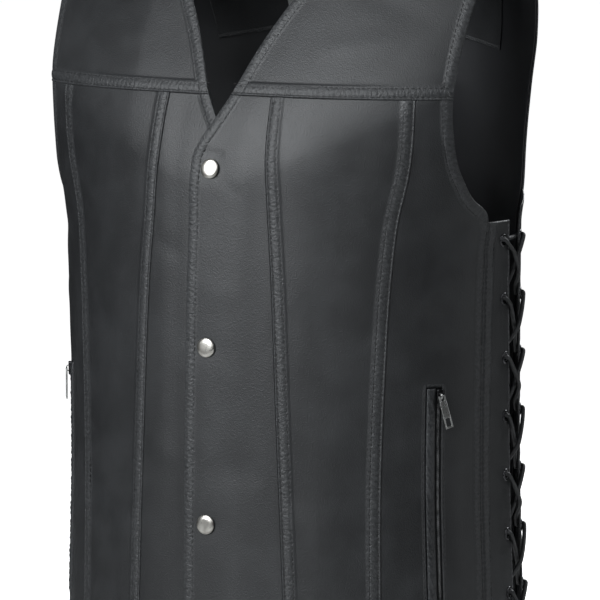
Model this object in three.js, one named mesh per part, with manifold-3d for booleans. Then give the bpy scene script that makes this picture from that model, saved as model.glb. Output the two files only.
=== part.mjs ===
// Leather vest with a snap front, zipped welt pockets and laced sides, filled out as when worn.
// Millimetres, +Z up. The front faces -Y and the wearer's left is +X. The origin lies between the
// shoulder seams, halfway along them. A place on the cloth is an angle round the body, in degrees
// from the centre front towards the wearer's left, and a height.
import * as THREE from 'three';
import { mergeVertices } from 'three/addons/utils/BufferGeometryUtils.js';
import loadManifold from 'manifold-3d';

const manifold = await loadManifold();
manifold.setup();

// Driving sizes
const leather = 1.4;
const liningCloth = 1.0;
const seamGap = 0.3;
const seamGapAngle = 0.11;
const hemHeight = -654;
const yokeHeight = -145;
const sideTopHeight = -240;
const backArmholeFoot = -222;
const backEdgeTop = -231;
const shoulder = { neckX: 80, tipX: 188, neckHeight: 20, slope: 0.36, ridgeY: 8, fullX: 214 };
const rounding = {
  start: 0.5,
  front: { neckReach: 245, tipReach: 117, power: 1.6 },
  back: { neckReach: 150, tipReach: 95, power: 1.75 },
  frontPower: 0.92,
};
const lap = { shift: 0.85, fullAngle: 7.5, endAngle: 13, fullHeight: -158, endHeight: -128 };
const topstitch = { raise: 0.5, angle: 2.3 };
const snap = { radius: 7.5, dome: 2.6, first: -200, spacing: 135, count: 4, angle: 0.3 };
const eyelet = { hole: 2.6, rim: 5, rimRaise: 0.7, fromEdge: 3.2, first: -255, spacing: 45.4, count: 9 };
const lace = { radius: 1.6, sides: 8, under: -3.4, over: 3, crossOver: 3.9, crossUnder: 0.1, tail: 62 };
const pocket = {
  top: -363, bottom: -546, front: 58.3, back: 63.5,
  zipAngle: 62.5, tape: 0.8, welt: { front: 58.5, back: 61.3, raise: 1.4, lift: 0.2 },
};
const slider = {
  width: 5.6, length: 10.5, thick: 2.3, drop: 6, lift: 0.1, shoulderAt: 0.2, footShare: 0.6,
  lug: { thick: 1.6, height: 2.4, foot: [-2.4, 2], top: [-1.8, 1.2], sunk: 0.2 },
};
const pull = {
  width: 6.3, length: 26, thick: 1.2, tilt: 17, headShare: 0.86, forkDepth: 4, forkPlay: 0.5,
  pivotInset: 0.8, pivotDrop: 0.9, hole: { length: 6.7, rim: 1.2, foot: 1.3 },
};
const neckFacing = { fromRise: 0.4, maxColumn: 0.7, thick: 1.2 };
const neckPatch = { fromRise: 0.48, toRise: 0.66, maxColumn: 0.36, thick: 0.8 };
const backNeck = { height: 0, power: 3 };

// Horizontal sections of the filled-out body, from the hem up. A backPower over 1 flattens the back
// towards the sides.
const sections = [
  { height: -654, halfWidth: 190, frontDepth: 138, backDepth: 144, backPower: 1.05 },
  { height: -600, halfWidth: 188.5, frontDepth: 137.5, backDepth: 142, backPower: 1.05 },
  { height: -530, halfWidth: 186.3, frontDepth: 137, backDepth: 140, backPower: 1.03 },
  { height: -440, halfWidth: 183.5, frontDepth: 137, backDepth: 136, backPower: 1 },
  { height: -340, halfWidth: 185, frontDepth: 136, backDepth: 130, backPower: 1.03 },
  { height: -280, halfWidth: 187.5, frontDepth: 134.5, backDepth: 127, backPower: 1.1 },
  { height: -236, halfWidth: 191.5, frontDepth: 132.5, backDepth: 126, backPower: 1.22 },
  { height: -200, halfWidth: 200.5, frontDepth: 131, backDepth: 127, backPower: 1.2 },
  { height: -150, halfWidth: 209.5, frontDepth: 127, backDepth: 128, backPower: 1.12 },
  { height: -90, halfWidth: 212, frontDepth: 120, backDepth: 127, backPower: 1.05 },
  { height: 40, halfWidth: 214, frontDepth: 120, backDepth: 126, backPower: 1.05 },
];

// Cut lines, each the angle of one edge or seam at some heights. They hold for both sides.
const frontEdge = [
  { height: -654, angle: -6.2 }, { height: -376, angle: -5.7 }, { height: -253, angle: -5.1 },
  { height: -200, angle: -4.7 }, { height: -190, angle: -4.4 }, { height: -181, angle: -3.3 },
  { height: -160, angle: 0.3 }, { height: -143, angle: 2.9 }, { height: -120, angle: 5.7 },
  { height: -86, angle: 10.6 }, { height: -74, angle: 12.6 }, { height: -40, angle: 16.8 },
  { height: 0, angle: 19.8 }, { height: 40, angle: 21.3 }, { height: 72.4, angle: 21.9 },
];
const innerSeam = [
  { height: -654, angle: 20.6 }, { height: -530, angle: 19.9 }, { height: -460, angle: 19.3 },
  { height: -380, angle: 18.2 }, { height: -330, angle: 17.4 }, { height: -280, angle: 16.4 },
  { height: -225, angle: 14.6 }, { height: -190, angle: 13.2 }, { height: -145, angle: 12.2 },
];
const outerSeam = [
  { height: -654, angle: 44.6 }, { height: -530, angle: 45 }, { height: -440, angle: 45.6 },
  { height: -370, angle: 46.2 }, { height: -300, angle: 46.9 }, { height: -240, angle: 47.8 },
  { height: -200, angle: 48.5 }, { height: -145, angle: 47.3 },
];
const frontSide = [
  { height: -654, angle: 78.7 }, { height: -430, angle: 79 }, { height: -330, angle: 78.5 },
  { height: -262, angle: 77.8 }, { height: -240, angle: 77.6 }, { height: -232.5, angle: 76.3 },
  { height: -222, angle: 70.2 }, { height: -206, angle: 64.7 }, { height: -170, angle: 58.8 },
  { height: -148, angle: 57.5 }, { height: -128, angle: 57.6 }, { height: -72, angle: 58.8 },
  { height: 11.2, angle: 60.7 },
];
const backSide = [
  { height: -654, angle: 123.2 }, { height: -496, angle: 123 }, { height: -341, angle: 120.6 },
  { height: -262, angle: 117.5 }, { height: -222, angle: 117.2 }, { height: -205, angle: 122 },
  { height: -180, angle: 126 }, { height: -150, angle: 127.5 }, { height: -110, angle: 125 },
  { height: -72, angle: 122 }, { height: -19, angle: 119.3 },
];
const laceEdge = [
  { height: -654, angle: 95.4 }, { height: -496, angle: 95 }, { height: -418, angle: 94.2 },
  { height: -341, angle: 92.6 }, { height: -290, angle: 90.5 }, { height: -240, angle: 88 },
];
const laceGapAngle = 12.5;

// The shoulder seam's ends on the back, at the neck and at the armhole
const neckAngle = 158.1;
const tipAngle = 119.3;

// Rows of the front panels, shared so that the seams meet point for point
const frontHeights = [
  hemHeight, -600, pocket.bottom, -500, -455, -409, pocket.top, -325, -290, -262,
  sideTopHeight, -228, -215, -200, -188, -174, -160, yokeHeight,
];
const sideHeights = frontHeights.filter((height) => height <= sideTopHeight);

// Materials, in the photo's colours
const leatherColour = new THREE.MeshStandardMaterial({ color: 0x2b2c2e, roughness: 0.5, metalness: 0 });
const bindingColour = new THREE.MeshStandardMaterial({ color: 0x34353a, roughness: 0.45, metalness: 0 });
const liningColour = new THREE.MeshStandardMaterial({ color: 0x17181a, roughness: 0.6, metalness: 0 });
const tapeColour = new THREE.MeshStandardMaterial({ color: 0x141416, roughness: 0.8, metalness: 0 });
const wovenColour = new THREE.MeshStandardMaterial({ color: 0x9a9b9d, roughness: 0.9, metalness: 0 });
const steelColour = new THREE.MeshStandardMaterial({ color: 0xb4b2ac, roughness: 0.35, metalness: 1 });

const vest = new THREE.Group();
const sides = [{ name: 'left', sign: 1 }, { name: 'right', sign: -1 }];

// Adds one named piece to the vest.
function addPiece(name, geometry, material) {
  const mesh = new THREE.Mesh(geometry, material);
  mesh.name = name;
  vest.add(mesh);
  return mesh;
}

function mix(from, to, share) {
  return from + (to - from) * share;
}

// 0 before the first value, 1 after the last, smooth between.
function fade(from, to, value) {
  return THREE.MathUtils.smoothstep((value - from) / (to - from), 0, 1);
}

// A smooth curve through one column of a table, read at a height. Slopes are those of the parabola
// through three neighbouring rows.
function readTable(table, column, height) {
  const last = table.length - 1;
  const at = THREE.MathUtils.clamp(height, table[0].height, table[last].height);
  let row = 0;
  while (row < last - 1 && table[row + 1].height < at) {
    row += 1;
  }
  const slope = (index) => {
    const rise = (from) => (table[from + 1][column] - table[from][column])
      / (table[from + 1].height - table[from].height);
    if (index === 0) {
      return rise(0);
    }
    if (index === last) {
      return rise(last - 1);
    }
    const before = table[index].height - table[index - 1].height;
    const after = table[index + 1].height - table[index].height;
    return (after * rise(index - 1) + before * rise(index)) / (before + after);
  };
  const span = table[row + 1].height - table[row].height;
  const share = (at - table[row].height) / span;
  const cube = share ** 3;
  const square = share ** 2;
  return (2 * cube - 3 * square + 1) * table[row][column]
    + (3 * square - 2 * cube) * table[row + 1][column]
    + (cube - 2 * square + share) * span * slope(row)
    + (cube - square) * span * slope(row + 1);
}

function cutAngle(table, height) {
  return readTable(table, 'angle', height);
}

function backLaceEdge(height) {
  return cutAngle(laceEdge, height) + laceGapAngle;
}

// The body's form
function sideOf(angle) {
  return Math.cos(THREE.MathUtils.degToRad(angle)) < 0 ? rounding.back : rounding.front;
}

function ridgeHeight(angle) {
  const beyondNeck = Math.abs(shoulder.fullX * Math.sin(THREE.MathUtils.degToRad(angle))) - shoulder.neckX;
  return shoulder.neckHeight - shoulder.slope * beyondNeck * (beyondNeck > 0 ? 1 : 0.35);
}

// How far down the shoulder's rounding reaches.
function reachAt(angle) {
  const across = Math.abs(shoulder.fullX * Math.sin(THREE.MathUtils.degToRad(angle))) / shoulder.tipX;
  const { neckReach, tipReach } = sideOf(angle);
  return mix(neckReach, tipReach, Math.min(across, 1.15) ** 1.5);
}

// Heights above the rounding's start are measured over the shoulder. This is the one at the seam there.
function seamHeight(angle) {
  return ridgeHeight(angle) + reachAt(angle) * rounding.start / 2;
}

function formPoint(angle, height) {
  const turn = THREE.MathUtils.degToRad(angle);
  const ridge = ridgeHeight(angle);
  const reach = reachAt(angle);
  const { power } = sideOf(angle);
  const below = Math.max((seamHeight(angle) - height) / reach, 0);
  const sunk = below > rounding.start ? below - rounding.start / 2 : below ** 2 / (2 * rounding.start);
  const z = ridge - reach * sunk;
  const share = (1 - Math.max(1 - sunk, 0) ** power) ** (1 / power);
  const cosine = Math.cos(turn);
  const reachY = cosine < 0
    ? -readTable(sections, 'backDepth', z) * Math.abs(cosine) ** readTable(sections, 'backPower', z)
    : readTable(sections, 'frontDepth', z) * cosine ** rounding.frontPower;
  return new THREE.Vector3(
    readTable(sections, 'halfWidth', z) * Math.sin(turn),
    shoulder.ridgeY - (shoulder.ridgeY + reachY) * share,
    z,
  );
}

// The tangents round and up the form and its outward normal.
function formFrame(angle, height) {
  const across = formPoint(angle + 0.25, height).sub(formPoint(angle - 0.25, height)).normalize();
  const up = formPoint(angle, Math.min(height + 1, seamHeight(angle))).sub(formPoint(angle, height - 2));
  const out = new THREE.Vector3().crossVectors(across, up).normalize();
  return { across, up: new THREE.Vector3().crossVectors(out, across), out };
}

function clothPoint(angle, height, offset) {
  return formPoint(angle, height).addScaledVector(formFrame(angle, height).out, offset);
}

// Where the fronts lap, the wearer's left front lies outside and the right one inside.
function lapShift(angle, height) {
  const away = 1 - fade(lap.fullAngle, lap.endAngle, Math.abs(angle));
  const low = 1 - fade(lap.fullHeight, lap.endHeight, height);
  return lap.shift * away * low;
}

// A closed wall over a grid. place(u, v) gives an angle and a height, shift moves both faces out,
// raise only the outer one, and open(column, row) leaves a cell out. On the wearer's right the
// angles are mirrored.
function clothWall({
  across, along, sign = 1, place, thick,
  shift = () => 0, raise = () => 0, open = () => false, nudge = () => 0,
}) {
  const positions = [];
  const count = across.length * along.length;
  for (const isOuter of [true, false]) {
    along.forEach((v) => across.forEach((u) => {
      const [angle, height] = place(u, v);
      const offset = shift(angle, height) + (isOuter ? raise(u, v, angle, height) : -thick);
      const point = clothPoint(angle, height, offset);
      positions.push(point.x * sign, point.y + nudge(v, angle), point.z);
    }));
  }
  const faces = [];
  const addFace = (a, b, c) => faces.push(sign > 0 ? [a, b, c] : [a, c, b]);
  for (let row = 0; row + 1 < along.length; row += 1) {
    for (let column = 0; column + 1 < across.length; column += 1) {
      if (!open(column, row)) {
        const corner = row * across.length + column;
        const above = corner + across.length;
        addFace(corner, corner + 1, above + 1);
        addFace(corner, above + 1, above);
      }
    }
  }
  const used = new Set(faces.flatMap(([a, b, c]) => [`${a} ${b}`, `${b} ${c}`, `${c} ${a}`]));
  const index = [];
  for (const [a, b, c] of faces) {
    index.push(a, b, c, c + count, b + count, a + count);
    for (const [from, to] of [[a, b], [b, c], [c, a]]) {
      if (!used.has(`${to} ${from}`)) {
        index.push(to, from, from + count, to, from + count, to + count);
      }
    }
  }
  return closedGeometry(positions, index);
}

function closedGeometry(positions, index) {
  const geometry = new THREE.BufferGeometry();
  geometry.setAttribute('position', new THREE.Float32BufferAttribute(positions, 3));
  geometry.setIndex(index);
  const merged = mergeVertices(geometry, 1e-4);
  merged.computeVertexNormals();
  return merged;
}

// Joins and cuts with manifold-3d
function toSolid(geometry) {
  const bare = geometry.clone();
  bare.deleteAttribute('normal');
  bare.deleteAttribute('uv');
  const merged = mergeVertices(bare, 1e-4);
  return new manifold.Manifold(new manifold.Mesh({
    numProp: 3,
    vertProperties: new Float32Array(merged.attributes.position.array),
    triVerts: new Uint32Array(merged.index.array),
  }));
}

function toGeometry(solid) {
  const mesh = solid.getMesh();
  return closedGeometry(Array.from(mesh.vertProperties), Array.from(mesh.triVerts));
}

// Evenly spaced shares from 0 to 1.
function evenShares(count) {
  return Array.from({ length: count + 1 }, (_, index) => index / count);
}

// Shares from 0 to 1 with a topstitched band of the given width at either end.
function bandedShares(band, count) {
  const edge = [0, band, band * 1.25];
  const middle = evenShares(count).slice(1, -1).map((share) => mix(band * 1.25, 1 - band * 1.25, share));
  return [...edge, ...middle, ...edge.map((share) => 1 - share).reverse()];
}

// A panel between two cut lines, over the front rows
function frontPanel({ sign, heights, from, to, across, shiftSign = 0, raise, open }) {
  const place = (u, height) => {
    const start = from(height) + seamGapAngle / 2;
    const end = to(height) - seamGapAngle / 2;
    const edge = THREE.MathUtils.clamp(height, -Infinity, yokeHeight - seamGap / 2);
    return [mix(start, end, u), edge];
  };
  const shift = (angle, height) => shiftSign * lapShift(angle, height);
  return clothWall({ across, along: heights, sign, place, thick: leather, shift, raise, open });
}

// The centre panel carries the snaps and ends at the front edge and the V neck.
function frontCentre(sign) {
  return frontPanel({
    sign,
    heights: frontHeights,
    from: (height) => cutAngle(frontEdge, height),
    to: (height) => cutAngle(innerSeam, height),
    across: [0, 0.25, 0.45, 0.6, 0.8, 1],
    shiftSign: sign,
  });
}

// The middle panel is lapped over its neighbours, so its edges carry the topstitched bands.
function frontMiddle(sign) {
  const band = topstitch.angle / 30;
  return frontPanel({
    sign,
    heights: frontHeights,
    from: (height) => cutAngle(innerSeam, height),
    to: (height) => cutAngle(outerSeam, height),
    across: bandedShares(band, 5),
    shiftSign: sign,
    raise: (u) => (Math.min(u, 1 - u) <= band ? topstitch.raise : 0),
  });
}

// The side panel runs from the outer seam to the lacing strip and the armhole. The pocket's slot is cut
// through it, between two of its columns and two of its rows.
function frontSidePanel(sign) {
  const columns = [0, 0.11, 0.22, 0.33, 'front', 'back', 0.72, 0.86, 1];
  const slotShare = (height, edge) => {
    const from = cutAngle(outerSeam, height);
    const inSlot = fade(-262, -325, height);
    const slotEdge = (pocket[edge] - from) / (cutAngle(frontSide, height) - from);
    return mix(edge === 'front' ? 0.44 : 0.58, slotEdge, inSlot);
  };
  const place = (u, height) => {
    const column = columns[Math.round(u * (columns.length - 1))];
    const share = typeof column === 'string' ? slotShare(height, column) : column;
    const start = cutAngle(outerSeam, height) + seamGapAngle / 2;
    const end = cutAngle(frontSide, height) - seamGapAngle / 2;
    return [mix(start, end, share), Math.min(height, yokeHeight - seamGap / 2)];
  };
  const slotRow = frontHeights.indexOf(pocket.bottom);
  const slotEnd = frontHeights.indexOf(pocket.top);
  const open = (column, row) => columns[column] === 'front' && row >= slotRow && row < slotEnd;
  const across = evenShares(columns.length - 1);
  return clothWall({ across, along: frontHeights, sign, place, thick: leather, open });
}

// The yoke runs from its seam over the chest to the shoulder seam.
function yoke(sign) {
  const rows = [0, 0.045, 0.06, 0.2, 0.34, 0.48, 0.6, 0.72, 0.82, 0.9, 0.96, 1];
  const foot = yokeHeight + seamGap / 2;
  const place = (u, v) => {
    const neck = cutAngle(frontEdge, mix(foot, seamHeight(180 - neckAngle), v)) + seamGapAngle / 2;
    const arm = cutAngle(frontSide, mix(foot, seamHeight(180 - tipAngle), v)) - seamGapAngle / 2;
    const angle = mix(neck, arm, u);
    return [angle, mix(foot, seamHeight(angle), v)];
  };
  return clothWall({
    across: evenShares(7),
    along: rows,
    sign,
    place,
    thick: leather,
    shift: (angle, height) => sign * lapShift(angle, height),
    raise: (u, v) => (v <= rows[1] ? topstitch.raise : 0),
    nudge: (v) => (v === 1 ? -seamGap / 2 : 0),
  });
}

// The back's grid: rows follow the side's heights up to the armhole's foot and then fan out to the
// shoulder and the neck.
const backHeights = [...sideHeights, backArmholeFoot];
const backUpperRows = [0.1, 0.2, 0.3, 0.4, 0.48, 0.57, 0.66, 0.75, 0.84, 0.92, 1];
const backColumns = [
  -1, -0.85, -0.7, -0.53, -0.361, -0.24, -0.12, 0, 0.12, 0.24, 0.361, 0.53, 0.7, 0.85, 1,
];

function backTop(angle) {
  const fromCentre = Math.abs(180 - angle) / (180 - neckAngle);
  if (fromCentre >= 1) {
    return seamHeight(angle);
  }
  return mix(backNeck.height, seamHeight(neckAngle), fromCentre ** backNeck.power);
}

function backPlace(u, row) {
  const isLow = row < backHeights.length;
  const rise = isLow ? 0 : backUpperRows[row - backHeights.length];
  const sideHeight = isLow ? backHeights[row] : mix(backArmholeFoot, seamHeight(tipAngle), rise);
  const side = cutAngle(backSide, sideHeight) + seamGapAngle / 2;
  const angle = 180 - u * (180 - side);
  return [angle, isLow ? backHeights[row] : mix(backArmholeFoot, backTop(angle), rise)];
}

// A layer of the back. Each layer uses the same grid, moved in, between two of its rows and columns.
function backLayer({ depth, thick, hemRise = 0, fromRise = 0, toRise = 1, maxColumn = 1 }) {
  const rowCount = backHeights.length + backUpperRows.length;
  const riseOf = (row) => (row < backHeights.length ? 0 : backUpperRows[row - backHeights.length]);
  const rows = Array.from({ length: rowCount }, (_, row) => row)
    .filter((row) => riseOf(row) >= fromRise && riseOf(row) <= toRise);
  return clothWall({
    across: backColumns.filter((u) => Math.abs(u) <= maxColumn).reverse(),
    along: rows,
    place: (u, row) => {
      const [angle, height] = backPlace(u, row);
      return [angle, row === 0 ? height + hemRise : height];
    },
    thick,
    shift: () => -depth,
    nudge: (row, angle) => (riseOf(row) === 1 && 180 - neckAngle - Math.abs(180 - angle) < 0.1 ? seamGap / 2 : 0),
  });
}

// A lacing strip with its row of eyelets. The rims are one with the strip, and the holes go through.
function laceStrip(sign, isFront) {
  const from = isFront ? (height) => cutAngle(frontSide, height) + seamGapAngle / 2 : backLaceEdge;
  const to = isFront ? (height) => cutAngle(laceEdge, height)
    : (height) => cutAngle(backSide, height) - seamGapAngle / 2;
  const heights = isFront ? sideHeights : backHeights;
  const edgeTop = isFront ? sideTopHeight : backEdgeTop;
  const place = (u, height) => {
    const isTop = height === heights[heights.length - 1];
    return [mix(from(height), to(height), u), isTop ? mix(edgeTop, height, u) : height];
  };
  const wall = clothWall({ across: [0, 0.25, 0.5, 0.75, 1], along: heights, sign, place, thick: leather });
  let solid = toSolid(wall);
  for (let row = 0; row < eyelet.count; row += 1) {
    const height = eyeletHeight(row);
    const frame = sidedFrame(eyeletAngle(height, isFront), height, 0, sign);
    const rim = new THREE.CylinderGeometry(eyelet.rim, eyelet.rim, eyelet.rimRaise * 2, 8);
    const hole = new THREE.CylinderGeometry(eyelet.hole, eyelet.hole, 8, 8);
    solid = solid.add(toSolid(rim.applyMatrix4(frame))).subtract(toSolid(hole.applyMatrix4(frame)));
  }
  return toGeometry(solid);
}

function eyeletHeight(row) {
  return eyelet.first - eyelet.spacing * row;
}

function eyeletAngle(height, isFront) {
  return isFront ? cutAngle(laceEdge, height) - eyelet.fromEdge : backLaceEdge(height) + eyelet.fromEdge;
}

// A frame on the cloth with Y outwards and Z down the cloth, mirrored on the wearer's right.
function sidedFrame(angle, height, offset, sign) {
  const { across, up, out } = formFrame(angle, height);
  const origin = clothPoint(angle, height, offset);
  const mirror = (vector) => new THREE.Vector3(vector.x * sign, vector.y, vector.z);
  const outward = mirror(out);
  const upward = mirror(up);
  const round = new THREE.Vector3().crossVectors(upward, outward);
  return new THREE.Matrix4().makeBasis(round, outward, upward.negate()).setPosition(mirror(origin));
}

// A tube of straight runs between points, mitred at each one.
function roundTube(points, radius, sideCount) {
  const positions = [];
  const index = [];
  const directions = points.slice(1).map((point, i) => point.clone().sub(points[i]).normalize());
  let normal = new THREE.Vector3(0, 0, 1).cross(directions[0]).normalize();
  points.forEach((point, i) => {
    const before = directions[Math.max(i - 1, 0)];
    const after = directions[Math.min(i, directions.length - 1)];
    const along = before.clone().add(after).normalize();
    normal.addScaledVector(before, -normal.dot(before)).normalize();
    const side = new THREE.Vector3().crossVectors(before, normal);
    const stretch = 1 / along.dot(before);
    const bend = after.clone().sub(before);
    const bendOut = bend.addScaledVector(along, -bend.dot(along)).normalize();
    for (let step = 0; step < sideCount; step += 1) {
      const turn = step / sideCount * Math.PI * 2;
      const spoke = normal.clone().multiplyScalar(Math.cos(turn) * radius)
        .addScaledVector(side, Math.sin(turn) * radius);
      spoke.addScaledVector(along, -spoke.dot(along));
      spoke.addScaledVector(bendOut, spoke.dot(bendOut) * (Math.min(stretch, 1.5) - 1));
      positions.push(point.x + spoke.x, point.y + spoke.y, point.z + spoke.z);
      if (i > 0) {
        const here = i * sideCount + step;
        const next = i * sideCount + (step + 1) % sideCount;
        index.push(here - sideCount, next - sideCount, next, here - sideCount, next, here);
      }
    }
    normal.addScaledVector(after, -normal.dot(after)).normalize();
  });
  const last = (points.length - 1) * sideCount;
  for (let step = 1; step + 1 < sideCount; step += 1) {
    index.push(0, step + 1, step, last, last + step, last + step + 1);
  }
  return closedGeometry(positions, index);
}

// One lace zigzags down from the top row in two strands that cross in the gap. Each strand comes out
// of an eyelet, passes over its own strip's edge and goes under the opposite one.
function laceStrand(startsInFront) {
  const route = [];
  for (let row = 0; row < eyelet.count; row += 1) {
    const isFront = (row % 2 === 0) === startsInFront;
    const height = eyeletHeight(row);
    const angle = eyeletAngle(height, isFront);
    route.push([angle, height, lace.under], [angle, height, lace.over]);
    if (row + 1 < eyelet.count) {
      const nextHeight = eyeletHeight(row + 1);
      const nextAngle = eyeletAngle(nextHeight, !isFront);
      const nextEdge = isFront ? backLaceEdge(nextHeight) : cutAngle(laceEdge, nextHeight);
      const share = (nextEdge - angle) / (nextAngle - angle);
      const cross = startsInFront ? lace.crossOver : lace.crossUnder;
      route.push([mix(angle, nextAngle, 0.5), mix(height, nextHeight, 0.5), cross]);
      route.push([nextEdge, mix(height, nextHeight, share), lace.under]);
    } else {
      const lean = isFront ? 1.2 : -1.2;
      route.push([angle + lean, height - lace.tail / 2, lace.over]);
      route.push([angle + lean / 2, height - lace.tail, lace.over]);
    }
  }
  return route;
}

function laceTube(sign) {
  const route = [...laceStrand(true).reverse(), ...laceStrand(false)];
  const points = route.map(([angle, height, offset]) => {
    const point = clothPoint(angle, height, offset);
    return new THREE.Vector3(point.x * sign, point.y, point.z);
  });
  return roundTube(points, lace.radius, lace.sides);
}

// Pocket pieces
function pocketWelt(sign) {
  const { front, back, raise } = pocket.welt;
  const inset = seamGap;
  const place = (u, v) => [mix(front, back, u), mix(pocket.bottom + inset, pocket.top - inset, v)];
  const roll = [0, 0.85, 1, 0.6, 0];
  return clothWall({
    across: evenShares(4),
    along: evenShares(8),
    sign,
    place,
    thick: leather,
    shift: () => pocket.welt.lift,
    raise: (u) => pocket.welt.raise * roll[Math.round(u * 4)],
  });
}

function zipTape(sign) {
  const depth = leather + seamGap;
  const chain = [pocket.zipAngle - 0.45, pocket.zipAngle - 0.3, pocket.zipAngle + 0.3, pocket.zipAngle + 0.45];
  const columns = [pocket.front - 0.8, ...chain, pocket.back + 0.8];
  const chainHeights = evenShares(6).map((share) => mix(pocket.bottom + 3, pocket.top - 3, share));
  const heights = [pocket.bottom - 3, pocket.bottom + 0.6, ...chainHeights, pocket.top - 0.6, pocket.top + 3];
  return clothWall({
    across: evenShares(columns.length - 1),
    along: heights,
    sign,
    place: (u, height) => [columns[Math.round(u * (columns.length - 1))], height],
    thick: pocket.tape,
    shift: () => -depth,
    raise: (u, height, angle) => (Math.abs(angle - pocket.zipAngle) < 0.35
      && height > pocket.bottom + 1 && height < pocket.top - 1 ? 1.3 : 0),
  });
}

function sliderFrame(sign) {
  return sidedFrame(pocket.zipAngle, pocket.top - slider.drop, slider.lift, sign);
}

// In the slider's own axes X runs across the zip, Y outwards and Z down the zip.
function zipSlider(sign) {
  const half = slider.width / 2;
  const outline = new THREE.Shape();
  outline.moveTo(-half, -slider.length / 2);
  outline.lineTo(half, -slider.length / 2);
  outline.lineTo(half, slider.length * slider.shoulderAt);
  outline.lineTo(half * slider.footShare, slider.length / 2);
  outline.lineTo(-half * slider.footShare, slider.length / 2);
  outline.lineTo(-half, slider.length * slider.shoulderAt);
  outline.closePath();
  const body = new THREE.ExtrudeGeometry(outline, { depth: slider.thick, bevelEnabled: false });
  body.rotateX(Math.PI / 2).translate(0, slider.thick, 0);
  const { thick, height, foot, top, sunk } = slider.lug;
  const lugShape = new THREE.Shape();
  lugShape.moveTo(foot[0], 0);
  lugShape.lineTo(top[0], height);
  lugShape.lineTo(top[1], height);
  lugShape.lineTo(foot[1], 0);
  lugShape.closePath();
  const lug = new THREE.ExtrudeGeometry(lugShape, { depth: thick, bevelEnabled: false });
  lug.rotateY(-Math.PI / 2).translate(thick / 2, slider.thick - sunk, 0);
  const solid = toSolid(body).add(toSolid(lug));
  return toGeometry(solid).applyMatrix4(sliderFrame(sign));
}

// The pull tab is forked over the slider's lug and has a framed hole at its foot.
function zipPull(sign) {
  const half = pull.width / 2;
  const gap = slider.lug.thick / 2 + pull.forkPlay;
  const outline = new THREE.Shape();
  outline.moveTo(-half, pull.length);
  outline.lineTo(half, pull.length);
  outline.lineTo(half * pull.headShare, 0);
  outline.lineTo(gap, 0);
  outline.lineTo(gap, pull.forkDepth);
  outline.lineTo(-gap, pull.forkDepth);
  outline.lineTo(-gap, 0);
  outline.lineTo(-half * pull.headShare, 0);
  outline.closePath();
  const hole = new THREE.Path();
  const holeHalf = half - pull.hole.rim;
  const holeEnd = pull.length - pull.hole.foot;
  hole.moveTo(-holeHalf, holeEnd - pull.hole.length);
  hole.lineTo(holeHalf, holeEnd - pull.hole.length);
  hole.lineTo(holeHalf, holeEnd);
  hole.lineTo(-holeHalf, holeEnd);
  hole.closePath();
  outline.holes.push(hole);
  const tab = new THREE.ExtrudeGeometry(outline, { depth: pull.thick, bevelEnabled: false });
  tab.rotateX(Math.PI / 2).translate(0, pull.thick / 2, -pull.pivotInset);
  tab.rotateY(THREE.MathUtils.degToRad(pull.tilt) * sign);
  tab.translate(0, slider.thick + slider.lug.height - pull.pivotDrop, 0);
  return tab.applyMatrix4(sliderFrame(sign));
}

// A snap's cap, round and slightly domed, in a frame with Y outwards.
function snapCap(row) {
  const profile = [
    [0, 0], [0.92, 0], [1, 0.16], [1, 0.4], [0.9, 0.7], [0.6, 0.93], [0, 1],
  ].map(([radius, height]) => new THREE.Vector2(radius * snap.radius, height * snap.dome));
  const cap = new THREE.LatheGeometry(profile, 20);
  const height = snap.first - snap.spacing * row;
  return cap.applyMatrix4(sidedFrame(snap.angle, height, lap.shift + seamGap, 1));
}

// The vest, piece by piece
for (const { name, sign } of sides) {
  addPiece(`front_centre_${name}`, frontCentre(sign), leatherColour);
  addPiece(`front_middle_${name}`, frontMiddle(sign), leatherColour);
  addPiece(`front_side_${name}`, frontSidePanel(sign), leatherColour);
  addPiece(`yoke_${name}`, yoke(sign), leatherColour);
  addPiece(`lace_strip_front_${name}`, laceStrip(sign, true), bindingColour);
  addPiece(`lace_strip_back_${name}`, laceStrip(sign, false), bindingColour);
  addPiece(`lace_${name}`, laceTube(sign), bindingColour);
  addPiece(`pocket_welt_${name}`, pocketWelt(sign), bindingColour);
  addPiece(`zip_tape_${name}`, zipTape(sign), tapeColour);
  addPiece(`zip_slider_${name}`, zipSlider(sign), steelColour);
  addPiece(`zip_pull_${name}`, zipPull(sign), steelColour);
}
const liningDepth = leather + seamGap;
const facingDepth = liningDepth + liningCloth + seamGap;
const patchDepth = facingDepth + neckFacing.thick + seamGap;
addPiece('back_panel', backLayer({ depth: 0, thick: leather }), leatherColour);
addPiece('back_lining', backLayer({ depth: liningDepth, thick: liningCloth, hemRise: 12 }), liningColour);
addPiece('neck_facing', backLayer({ depth: facingDepth, ...neckFacing }), leatherColour);
addPiece('neck_patch', backLayer({ depth: patchDepth, ...neckPatch }), wovenColour);
for (let row = 0; row < snap.count; row += 1) {
  addPiece(`snap_cap_${row + 1}`, snapCap(row), steelColour);
}

export default vest;
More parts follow.
